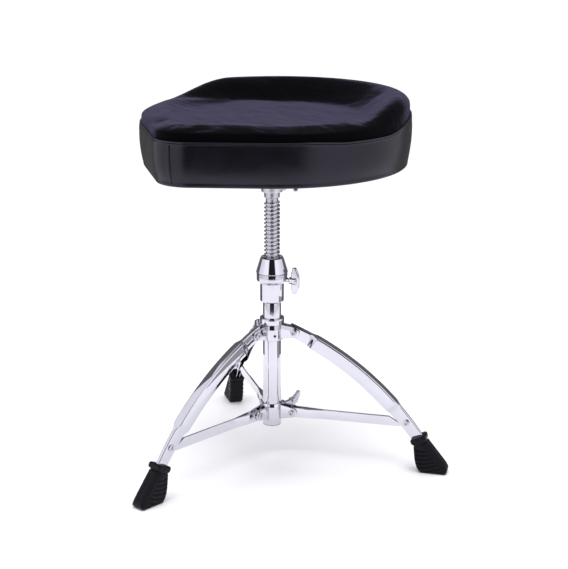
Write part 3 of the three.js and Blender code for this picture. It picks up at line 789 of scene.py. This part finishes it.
def brace_plan(inset, low, high):
    """A slab over the brace's plan, set in from its sides."""
    sides = [(-20, BRACE.half_width), (BRACE.taper_start, BRACE.half_width),
             (BRACE.taper_end, BRACE.tongue_half), (240, BRACE.tongue_half)]
    x0 = COLLAR_PIVOT[0]
    upper = [(x0 + x, half - inset, 20) for x, half in sides]
    lower = [(x0 + x, inset - half, 20) for x, half in reversed(sides)]
    upper[0], upper[-1], lower[0], lower[-1] = (
        (*corner[:2], 0) for corner in (upper[0], upper[-1], lower[0], lower[-1])
    )
    return slab(rounded(upper + lower, closed=True, steps=6), low, high)


def brace_bar():
    """A channel that opens downwards: round at the collar, pinched to a slanted tongue inside the leg."""
    x0, z = COLLAR_PIVOT
    end = BRACE.height / 2
    arc = [
        (x0 + end * math.cos(math.radians(a)), z + end * math.sin(math.radians(a))) for a in range(90, 271, 9)
    ]
    outline = [
        (x0 + BRACE.tongue_end - 3, z - end), (x0 + BRACE.tongue_end, z - end + 2.5),
        (x0 + BRACE.tongue_top_end, z + end), *arc,
    ]
    inner = BRACE.half_width - BRACE.wall
    plan = bevelled(brace_plan(0, z - end - 5, z + end), 1.3, 4)
    bar = combined(plan, within=[prism(outline, -12, 12)])
    return combined(bar, cuts=[
        brace_plan(BRACE.wall, z - end - 6, z + end - BRACE.wall),
        block(x0 - 20, x0 + BRACE.inner_fork, -inner, inner, z - end - 6, z + end + 5),
        pivot_hole(COLLAR_PIVOT),
    ])


def rivet_profile(half_length):
    """A tubular rivet's head: a flat ring with a rolled edge round a deep dimple, as (radius, y)."""
    face = half_length
    return [
        (0, face - 2.2, 0), (1.7, face - 2.2, 0.3), (2.3, face - 0.5, 0.4), (3.2, face, 0.6),
        (5.4, face - 0.6, 0.6), (5.4, face - 2.2, 0), (PIVOT_RADIUS, face - 2.2, 0),
    ]


def rivet(pivot, half_length, inside=None):
    """A rivet along y. With inside set it is one half: a head and a stub that ends there."""
    head = rounded(rivet_profile(half_length), steps=4)
    if inside is None:
        profile = head + [(r, -y) for r, y in reversed(head)]
    else:
        profile = head + [(PIVOT_RADIUS, inside), (0, inside)]
    mesh = turned(profile, 40)
    mesh.transform(Matrix.Translation((pivot[0], 0, pivot[1])) @ Matrix.Rotation(-math.pi / 2, 4, "X"))
    return mesh


def half_length(node):
    """Half the length across the front leg, whose rivets lie along x."""
    low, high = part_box(node)
    return max(abs(low.x), abs(high.x)) / MM


def curve(a, b, c, d, count=10):
    """Points of a Bezier curve from a to d, without its first point."""
    shares = (k / count for k in range(1, count + 1))
    weights = [((1 - u) ** 3, 3 * u * (1 - u) ** 2, 3 * u * u * (1 - u), u ** 3) for u in shares]
    return [tuple(sum(w * p[i] for w, p in zip(row, (a, b, c, d))) for i in (0, 1)) for row in weights]


def foot_outline():
    """The side of a foot's body as (r, z): a flat sole, a round toe, a straight slope, and the heel side."""
    outline = [(FOOT.heel, 0), (FOOT.sole_end, 0)]
    outline += curve((FOOT.sole_end, 0), (295, 0), (297, 6.8), FOOT.toe)
    outline += [FOOT.slope_top, (255, 60), (236, 53), (238.5, 43)]
    outline += curve((238.5, 43), (240.5, 26), (240, 9), (FOOT.heel, 0))[:-1]
    return outline


def slope_frame():
    """Directions along the foot's outer slope, and out of it."""
    along = (Vector(FOOT.slope_top) - Vector(FOOT.toe)).normalized()
    return along, Vector((along.y, -along.x))


def chamfer_tool(side):
    """What is cut from one long edge of the outer slope, to leave a narrow strip between slanted sides."""
    along, out = slope_frame()
    strip, full, deep = FOOT.strip, FOOT_HALF_WIDTH, FOOT.chamfer
    steep = (full - strip) / deep
    rings = []
    for run in (-70, 90):
        origin = Vector(FOOT.toe) + along * run
        corners = [(deep, strip - steep * deep), (-2 * deep, strip + steep * 2 * deep), (deep, full + 12)]
        ring = [(*(origin + out * n), side * y) for n, y in corners]
        rings.append([(r, y, z) for r, z, y in ring])
    return skin(rings)


def foot_rim():
    """The thick rolled rim round the foot's mouth."""
    inner, outer = Vector(FOOT.mouth_inner), Vector(FOOT.mouth_outer)
    along = (outer - inner).normalized()
    down = Vector((along.y, -along.x)) * FOOT.rim_height
    corners = [inner, outer, outer + down - along, inner + down + along]
    outline = rounded([(p.x, p.y, 3.6) for p in corners], closed=True, steps=6)
    half = FOOT_HALF_WIDTH + 0.6
    return bevelled(prism(outline, -half, half), 3.4, 5, 40)


def foot_block():
    """The foot's solid: a body with a chamfered slope, a rim, and the leg's pocket."""
    solid = bevelled(prism(foot_outline(), -FOOT_HALF_WIDTH, FOOT_HALF_WIDTH), 3.2, 4, 50)
    body = combined(solid, cuts=[chamfer_tool(1), chamfer_tool(-1)])
    half = LEG.narrow + CLEARANCE
    rings = []
    for angle in np.linspace(LEG.bottom_angle + 8, LEG.bottom_angle - 0.1, 12):
        depth = leg_depth(angle) + CLEARANCE
        section = [(-half, depth), (-half, -CLEARANCE), (half, -CLEARANCE), (half, depth)]
        rings.append([leg_point(angle, y, d) for y, d in section])
    return combined(body, [foot_rim()], [skin(rings)])


def foot_detail(mesh):
    """Deep curved grooves on the sides, a border groove, and small studs on the outer strip."""
    points = vectors(mesh)
    normal = vectors(mesh, "normal")
    r, y, z = points.T
    along, out = slope_frame()
    toe = Vector(FOOT.toe)
    run = (r - toe.x) * along.x + (z - toe.y) * along.y
    depth = -((r - toe.x) * out.x + (z - toe.y) * out.y)
    rim_line = Vector(FOOT.mouth_inner)
    mouth = (Vector(FOOT.mouth_outer) - rim_line).normalized()
    below_rim = -((r - rim_line.x) * -mouth.y + (z - rim_line.y) * mouth.x) - FOOT.rim_height
    centre_r, centre_z = FOOT.groove_centre
    distance = np.hypot(r - centre_r, z - centre_z)
    step = (distance - FOOT.first_groove) / FOOT.groove_spacing
    near = np.abs(step - np.round(step)) * FOOT.groove_spacing
    side = smoothstep(np.abs(normal[:, 1]), 0.5, 0.8)
    field = side * smoothstep(depth, 8.5, 10.5) * (step > -0.5) * (step < 6.5) * smoothstep(below_rim, 1, 3)
    groove = FOOT.groove_depth * np.exp(-((near / 1.25) ** 2)) * field
    border = 0.9 * np.exp(-(((depth - FOOT.chamfer - 0.8) / 0.9) ** 2)) * side * smoothstep(z, 3, 7)
    under_rim = 1.1 * np.exp(-(((below_rim - 0.6) / 1.1) ** 2)) * (z > 20)
    strip = smoothstep(normal[:, 0] * out.x + normal[:, 2] * out.y, 0.8, 0.95) * (below_rim > 2)
    studs = np.cos(2 * math.pi * (run + y) / 5.5) * np.cos(2 * math.pi * (run - y) / 5.5)
    raised = 0.8 * smoothstep(studs, -0.1, 0.5) * strip * (z > 5)
    shift = raised - np.maximum(np.maximum(groove, border), under_rim)
    points = points + normal * shift[:, None]
    points[:, 2] = np.where(points[:, 2] < 0.45, 0, points[:, 2])
    move_to(mesh, points)
    return mesh


def rubber_foot():
    """The foot, with its creases softened before its detail is pressed in."""
    voxel, repeats = ((0.7, 4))
    mesh = modified(foot_block(), "REMESH", mode="VOXEL", voxel_size=voxel)
    return foot_detail(modified(mesh, "SMOOTH", factor=0.5, iterations=repeats))


def legs():
    channel = leg_channel()
    bar = brace_bar()
    foot = rubber_foot()
    hub_rivet = rivet(HUB_PIVOT, half_length("hub_rivet_front"))
    collar_rivet = rivet(COLLAR_PIVOT, half_length("collar_rivet_front"))
    outer = half_length("brace_rivet_front_a")
    inside = LEG.narrow - LEG.wall
    near_half = rivet(BRACE_PIVOT, outer, inside)
    far_half = near_half.copy()
    far_half.transform(Matrix.Rotation(math.pi, 4, "Z") @ Matrix.Translation((-2 * BRACE_PIVOT[0], 0, 0)))
    for name in LEG_NAMES:
        turn = LEG_AZIMUTH[name]
        leg_body = f"leg_{name}"
        add_piece(f"{name}_leg_channel", channel, CHROME, leg_body, [f"leg_{name}"], turn)
        add_piece(f"{name}_brace_bar", bar, CHROME, f"brace_{name}", [f"brace_{name}"], turn)
        add_piece(f"{name}_rubber_foot", foot, RUBBER, leg_body, [f"foot_{name}"], turn, 180)
        add_piece(f"{name}_hub_rivet", hub_rivet, ZINC, "base", [f"hub_rivet_{name}"], turn)
        add_piece(
            f"{name}_collar_rivet", collar_rivet, ZINC, "collar", [f"collar_rivet_{name}"], turn
        )
        for side, mesh in (("a", near_half), ("b", far_half)):
            node = f"brace_rivet_{name}_{side}"
            add_piece(f"{name}_brace_rivet_{side}", mesh, ZINC, leg_body, [node], turn)


# ---- Seat ----------------------------------------------------------------------------------------
# In the seat's own frame s runs back from the column, w across, and the nose points along -s.

LEAN = math.asin((SEAT.main_radius - SEAT.nose_radius) / (SEAT.main_centre - SEAT.nose_centre))
FLANK = math.pi / 2 + LEAN
MAIN_ARC = 2 * FLANK * SEAT.main_radius
NOSE_ARC = 2 * (math.pi - FLANK) * SEAT.nose_radius
SIDE_RUN = (SEAT.main_centre - SEAT.nose_centre) * math.cos(LEAN)
PERIMETER = MAIN_ARC + NOSE_ARC + 2 * SIDE_RUN
SEWN_JOINT = PERIMETER / 2 + 11


def outline_at(run):
    """The outline's point (s, w) at a distance round the seat from the back, and its outward direction."""
    run = run % PERIMETER
    half_main = MAIN_ARC / 2
    mirrored = run > PERIMETER / 2
    if mirrored:
        run = PERIMETER - run
    if run < half_main:
        angle = run / SEAT.main_radius
        centre, radius, slide = SEAT.main_centre, SEAT.main_radius, 0
    elif run < half_main + SIDE_RUN:
        angle, slide = FLANK, run - half_main
        centre, radius = SEAT.main_centre, SEAT.main_radius
    else:
        angle = FLANK + (run - half_main - SIDE_RUN) / SEAT.nose_radius
        centre, radius, slide = SEAT.nose_centre, SEAT.nose_radius, 0
    s = centre + radius * math.cos(angle) - slide * math.sin(angle)
    w = radius * math.sin(angle) + slide * math.cos(angle)
    out = (math.cos(angle), math.sin(angle))
    if mirrored:
        w, out = -w, (out[0], -out[1])
    return (s, w), out


def inset_of(s, w):
    """How far a point lies inside the seat's outline."""
    length = SEAT.main_centre - SEAT.nose_centre
    along = SEAT.main_centre - s
    across = np.abs(w)
    b = (SEAT.main_radius - SEAT.nose_radius) / length
    a = math.sqrt(1 - b * b)
    k = a * along - b * across
    main = np.hypot(across, along) - SEAT.main_radius
    nose = np.hypot(across, along - length) - SEAT.nose_radius
    flank = a * across + b * along - SEAT.main_radius
    return -np.where(k < 0, main, np.where(k > a * length, nose, flank))


def seam_height(s):
    nose_lift = (SEAT.nose_seam - SEAT.side_seam) * smoothstep(-s, 60, 120)
    return SEAT.side_seam + nose_lift + (SEAT.back_seam - SEAT.side_seam) * smoothstep(s, 10, 135)


def crest_height(s):
    nose_lift = 1.5 * smoothstep(-s, 100, 190)
    rise = (SEAT.back_crest - SEAT.front_crest) * smoothstep(s, -28, 98)
    return SEAT.front_crest + rise + nose_lift


def top_height(s, w):
    """The velvet's height: it rolls up from the seam to a crest and falls to the dished floor."""
    inset = inset_of(s, w)
    seam, crest = seam_height(s), crest_height(s)
    roll = SEAT.roll
    share = np.clip(inset / roll, 0, 1)
    edge = seam + (crest - seam) * np.sqrt(np.maximum(0, 1 - (1 - share) ** 2))
    floor = SEAT.floor + 1.5 * smoothstep(s, 20, 120)
    fall = smoothstep(inset, roll, roll + SEAT.rim_width)
    return edge - (crest - floor) * fall


def pad_mesh():
    """The top pad, closed underneath, a little slack so that the simulation can fill it."""
    count = 150
    skirt, slack = 3.2, 1.3
    runs = [PERIMETER * k / count for k in range(count)]
    insets = [skirt, skirt + 0.01, 4.6, 6.5, 9, 12, 16, 21, 27, 33, 39, 45]
    edge = [outline_at(run) for run in runs]
    rings = [
        [(p[0] - skirt * out[0], p[1] - skirt * out[1], seam_height(p[0]) - drop) for p, out in edge]
        for drop in (14, 7)
    ]
    for inset in insets[1:]:
        ring = []
        for p, out in edge:
            s, w = p[0] - inset * out[0], p[1] - inset * out[1]
            ring.append((s, w, float(top_height(s, w)) - slack * float(smoothstep(inset, 4, 14))))
        rings.append(ring)
    last = rings[-1]
    shrink = (0.96, 0.92, 0.88, 0.84, 0.8, 0.75, 0.7, 0.64, 0.58, 0.51,
              0.44, 0.37, 0.3, 0.23, 0.16, 0.1, 0.04)
    for share in shrink:
        ring = []
        for s, w, _ in last:
            s, w = SEAT.main_centre + (s - SEAT.main_centre) * share, w * share
            ring.append((s, w, float(top_height(s, w)) - slack))
        rings.append(ring)
    return skin(rings)


def simulated(mesh, cap):
    """Fills the pad by cloth under pressure. Points at the seam are pinned, and none moves past cap."""
    scene = bpy.context.scene
    thing = placed("tool", mesh)
    thing.data.transform(Matrix.Scale(MM, 4))
    before = vectors(thing.data)
    s, w, z = (before / MM).T
    pinned = np.where((inset_of(s, w) < 5.5) | (z < seam_height(s) - 1))[0]
    group = thing.vertex_groups.new(name="pin")
    group.add([int(i) for i in pinned], 1.0, "REPLACE")
    cloth = thing.modifiers.new("cloth", "CLOTH")
    fabric = {
        "quality": 6, "mass": 0.25, "tension_stiffness": 18, "compression_stiffness": 18,
        "shear_stiffness": 6, "bending_stiffness": 12, "air_damping": 2, "use_pressure": True,
        "uniform_pressure_force": 4, "vertex_group_mass": "pin",
    }
    for name, value in fabric.items():
        setattr(cloth.settings, name, value)
    cloth.settings.effector_weights.gravity = 0
    cloth.point_cache.frame_start = 1
    cloth.point_cache.frame_end = 20
    for step in range(1, 21):
        scene.frame_set(step)
    filled = with_modifiers(thing)
    scene.frame_set(1)
    move = vectors(filled) - before
    length = np.linalg.norm(move, axis=1, keepdims=True)
    move *= np.minimum(1, cap * MM / np.maximum(length, 1e-9))
    move_to(filled, before + move)
    filled.transform(Matrix.Scale(1 / MM, 4))
    return filled


def velvet_pad():
    mesh = pad_mesh()
    mesh = simulated(mesh, cap=3.5)
    mesh = modified(mesh, "SUBSURF", levels=1, render_levels=1)
    piece = add_piece(
        "velvet_pad", mesh, VELVET, "seat", ["seat_cushion"], SEAT_DIRECTION, 180
    )


def band_section(seam, bottom):
    """The side cover's closed section as (inset, z): a rolled top, a leaning wall, a hem under the board."""
    taper = SEAT.band_taper
    wall_top, wall_bottom, steps = seam - 3, bottom + 6, 24
    wall = []
    for k in range(steps + 1):
        share = k / steps
        inset = taper * share ** 2.4 - 0.8 * math.sin(math.pi * share)
        wall.append((inset, wall_top + (wall_bottom - wall_top) * share))
    top = rounded([
        (5.5, seam - 9, 0), (4.6, seam - 1.6, 1.2), (2.0, seam + 0.3, 1.6), (0.1, seam - 2.6, 1.6),
    ], steps=4)
    low = rounded([
        (taper, wall_bottom - 0.2, 0), (taper + 0.6, bottom, 4.5), (24, bottom + 0.5, 0.5),
        (24, bottom + 2.2, 0.5), (taper + 4.5, bottom + 2.9, 1.4), (taper + 2.7, bottom + 6, 0),
        (2.5, seam - 12, 0),
    ], steps=6)
    return top + wall + low


def band_relief(run, z, seam):
    """How far the leather stands proud: a sewn joint at the nose, puckers by it, and soft long creases."""
    away = abs(run - SEWN_JOINT)
    groove = -1.3 * math.exp(-((away / 0.8) ** 2))
    shoulder = 0.45 * math.exp(-(((away - 3.4) / 2.4) ** 2))
    below = seam - z
    high_up = math.exp(-((below - 9) / 7) ** 2)
    turns = 2 * math.pi * run / PERIMETER
    where = Vector((6.0 * math.cos(turns), 6.0 * math.sin(turns), z / 5.5))
    ripple = noise.fractal(where, 0.8, 2.1, 3)
    slow = noise.noise(Vector((2.2 * math.cos(turns) + 7, 2.2 * math.sin(turns), z / 40)))
    pucker = 0.55 * math.exp(-((away / 26) ** 2)) * high_up * math.sin(below * 1.05 + away * 0.06)
    return groove + shoulder + 0.42 * ripple * high_up + 0.5 * slow + pucker


def band_runs():
    """Distances round the outline: even steps, with fine ones at the sewn joint."""
    coarse = [PERIMETER * k / 420 for k in range(420)]
    fine = [SEWN_JOINT + k * 0.45 for k in range(-20, 21)]
    return sorted([run for run in coarse if abs(run - SEWN_JOINT) > 10] + fine)


def side_band():
    low, _ = heights("seat_side_cover")
    rings = []
    for run in band_runs():
        (s, w), out = outline_at(run)
        seam = float(seam_height(s))
        ring = []
        for inset, z in band_section(seam, low):
            outer = inset < SEAT.band_taper * float(smoothstep(seam - z, 0, seam - low)) ** 0.5 + 1.2
            free = outer * float(smoothstep(z, low + 2, low + 10)) * float(smoothstep(seam - z, 1, 5))
            inset = inset - band_relief(run, z, seam) * free
            ring.append((s - inset * out[0], w - inset * out[1], z))
        rings.append(ring)
    mesh = skin(rings, closed_path=True)
    add_piece("leather_band", mesh, LEATHER, "seat", ["seat_side_cover"], SEAT_DIRECTION, 60)


def tube_round_seat(name, inset, rise, radius, material):
    """A thin round tube that follows the seam."""
    rings = []
    for k in range(420):
        (s, w), out = outline_at(PERIMETER * k / 420)
        ring = []
        for j in range(12):
            turn = 2 * math.pi * j / 12
            depth = inset - radius * math.cos(turn)
            height = float(seam_height(s)) + rise + radius * math.sin(turn)
            ring.append((s - depth * out[0], w - depth * out[1], height))
        rings.append(ring)
    add_piece(name, skin(rings, closed_path=True), material, "seat", azimuth=SEAT_DIRECTION, sharp=180)


def hem_staples():
    """Steel staples that hold the hem to the board."""
    low, _ = heights("seat_side_cover")
    bm = bmesh.new()
    count = 46
    for k in range(count):
        (s, w), out = outline_at(PERIMETER * (k + 0.5) / count)
        slant = 0.25 * math.sin(k * 2.4)
        spot = Matrix.Translation((s - 15 * out[0], w - 15 * out[1], low + 0.15))
        turn = Matrix.Rotation(math.atan2(out[1], out[0]) + math.pi / 2 + slant, 4, "Z")
        size = Matrix.Diagonal((10, 0.9, 0.6, 1))
        bmesh.ops.create_cube(bm, size=1, matrix=spot @ turn @ size)
    staples = bevelled(finished(bm), 0.2, 2)
    add_piece("hem_staples", staples, ZINC, "seat", azimuth=SEAT_DIRECTION)


def seat_bracket():
    low, high = heights("seat_bracket")
    body, plate, thickness, bore = 17.2, reach("seat_bracket"), 4, 12.9
    under = high - thickness
    shell = turned(rounded([
        (bore, low, 0), (body, low, 1.4), (body, under - 9, 3), (body + 8, under, 5), (plate, under, 1.2),
        (plate, high, 0.5), (bore, high, 0),
    ], closed=True, steps=6), 120)
    lug = bevelled(block(bore + 1.5, 22.4, -8, 8, low + 2.5, high - 1), 1.6, 4)
    mesh = combined(shell, [turned_copy(lug, SEAT_CLAMP_PLACE[0])], [bolt_hole(SEAT_CLAMP_PLACE)])
    add_piece("bracket_casting", mesh, SATIN_CAST, "seat", ["seat_bracket"])
    for k in range(1, 5):
        node = f"bracket_screw_{k}"
        screw_low, screw_high = heights(node)
        screw = turned(rounded([
            (0, screw_low, 0), (3.4, screw_low, 0.8), (5.5, screw_low + 2, 1), (5.5, screw_low + 3.6, 0.2),
            (3, screw_low + 3.6, 0), (3, screw_high, 0.5), (0, screw_high, 0),
        ]), 48)
        slots = [block(-2.6, 2.6, -0.5, 0.5, screw_low - 1, screw_low + 2) for _ in range(2)]
        slots[1].transform(Matrix.Rotation(math.pi / 2, 4, "Z"))
        screw = combined(screw, cuts=slots)
        x, y, _ = (middle(node) - COLUMN) / MM
        screw.transform(Matrix.Translation((x, y, 0)))
        add_piece(f"plate_screw_{k}", screw, ZINC, "seat", [node])


# ---- The rest of the CAD nodes, the stage and the camera -------------------------------------------


def finish_cad_nodes():
    finishes = {"seat_board": BOARD, "spindle_glide": NYLON, "spindle_stop_screw": ZINC}
    for name, material in finishes.items():
        node = frame["nodes"][name]
        node.data.materials.clear()
        node.data.materials.append(material)


CAMERA_AZIMUTH = 44.6


def towards(azimuth, elevation=0.0):
    a, e = math.radians(azimuth), math.radians(elevation)
    return Vector((math.sin(a) * math.cos(e), -math.cos(a) * math.cos(e), math.sin(e)))


def camera():
    distance, height, pitch = 2.1, 0.91, 16.3
    data = bpy.data.cameras.new("camera")
    data.lens = 85.9
    data.shift_x = 0.0211
    thing = placed("camera", data)
    thing.location = COLUMN + towards(CAMERA_AZIMUTH) * distance + Vector((0, 0, height))
    aim = -towards(CAMERA_AZIMUTH, pitch)
    thing.rotation_euler = aim.to_track_quat("-Z", "Y").to_euler()
    bpy.context.scene.camera = thing


def floor():
    """A pale round floor."""
    radius = 1.15
    bm = bmesh.new()
    bmesh.ops.create_circle(bm, cap_ends=True, segments=96, radius=radius)
    mesh = finished(bm, "floor")
    s = Surface("floor", Roughness=0.8, Specular_IOR_Level=0.2)
    s.colour(s.noise(0.4, 2), (0.93, 0.93, 0.935), (0.95, 0.95, 0.955))
    mesh.materials.append(s.material)
    thing = placed("floor", mesh)
    thing.location = COLUMN + Vector((0, 0, -0.0004))
    return thing


def flag(name, start, end, radius, low, high, level):
    """A curved grey card round the object that only reflections see. Angles run from the camera's side."""
    steps = 24
    bm = bmesh.new()
    rows = []
    for k in range(steps + 1):
        foot = towards(CAMERA_AZIMUTH + start + (end - start) * k / steps) * radius
        rows.append([bm.verts.new(foot + Vector((0, 0, z))) for z in (low, high)])
    for here, there in zip(rows, rows[1:]):
        bm.faces.new((here[0], there[0], there[1], here[1]))
    mesh = finished(bm, name)
    s = Surface(name, Base_Color=(0, 0, 0, 1), Roughness=1.0, Specular_IOR_Level=0.0,
                Emission_Color=(1, 1, 1, 1), Emission_Strength=level)
    mesh.materials.append(s.material)
    thing = placed(name, mesh)
    thing.location = COLUMN
    for ray in ("camera", "diffuse", "shadow", "transmission", "volume_scatter"):
        setattr(thing, f"visible_{ray}", False)
    return thing


def stage():
    cards = [
        flag("left_flag", -152, -104, 0.52, 0, 0.75, 0.16),
        flag("right_flag", 106, 152, 0.52, 0, 0.75, 0.16),
        flag("right_low_flag", 66, 106, 0.50, 0, 0.115, 0.42),
    ]
    floor()


def studio_world():
    """What reflections see: a dark gap at the camera, bright sides, a dim back above a white backdrop."""
    world = bpy.data.worlds.new("studio")
    bpy.context.scene.world = world
    world.use_nodes = True
    w = Nodes(world.node_tree)
    w.tree.nodes.clear()
    direction = w.node("ShaderNodeTexCoord").outputs["Generated"]
    forward = w.dot(direction, towards(CAMERA_AZIMUTH))
    sideways = w.dot(direction, towards(CAMERA_AZIMUTH + 90))
    up = w.dot(direction, Vector((0, 0, 1)))
    squares = w.math("ADD", w.math("MULTIPLY", forward, forward), w.math("MULTIPLY", sideways, sideways))
    flat = w.math("SQRT", squares)
    facing = w.math("DIVIDE", forward, w.math("MAXIMUM", flat, 0.001))
    sides = w.blend(w.ramp(facing, 0.0, 0.75), 0.80, 1.05)
    front_gap = w.ramp(facing, 0.885, 0.915)
    behind = w.math("MULTIPLY", w.ramp(facing, -0.60, -0.70), w.ramp(up, 0.13, 0.22))
    sides = w.math("MULTIPLY", sides, w.blend(w.ramp(up, 0.0, 0.12), 1.0, 1.35))
    level = w.blend(behind, w.blend(front_gap, sides, 0.02), 0.13)
    level = w.blend(w.ramp(up, 0.72, 0.85), level, 0.9)
    green, blue = w.math("MULTIPLY", level, 0.99), w.math("MULTIPLY", level, 1.05)
    tint = w.node("ShaderNodeCombineColor", [(0, level), (1, green), (2, blue)])
    seen = w.node("ShaderNodeLightPath").outputs["Is Camera Ray"]
    plain = w.node("ShaderNodeBackground", [("Color", (1, 1, 1, 1)), ("Strength", 1.05)])
    studio = w.node("ShaderNodeBackground", [("Color", tint.outputs[0])])
    mixed = w.node("ShaderNodeMixShader", [(0, seen), (1, studio.outputs[0]), (2, plain.outputs[0])])
    w.node("ShaderNodeOutputWorld", [("Surface", mixed.outputs[0])])


def softbox(name, azimuth, elevation, distance, size, power):
    data = bpy.data.lights.new(name, "AREA")
    data.shape = "RECTANGLE"
    data.size, data.size_y = size
    data.energy = power
    thing = placed(name, data)
    aim = towards(azimuth, elevation)
    thing.location = COLUMN + Vector((0, 0, 0.3)) + aim * distance
    thing.rotation_euler = (-aim).to_track_quat("-Z", "Y").to_euler()
    thing.visible_glossy = False


def main():
    base_tube()
    end_cap()
    sleeve()
    nut_housing()
    spindle()
    wing_bolts()
    leg_hub()
    roll_pin()
    brace_collar()
    legs()
    velvet_pad()
    side_band()
    tube_round_seat("seam_piping", 1.9, 0.9, 1.5, PIPING)
    hem_staples()
    seat_bracket()
    finish_cad_nodes()
    stage()
    studio_world()
    softbox("overhead", CAMERA_AZIMUTH, 80, 2.2, (1.9, 1.9), 46)
    softbox("back_fill", CAMERA_AZIMUTH + 180, 45, 2.4, (1.8, 1.2), 16)
    camera()
    bpy.context.scene.view_settings.view_transform = "Standard"


main()
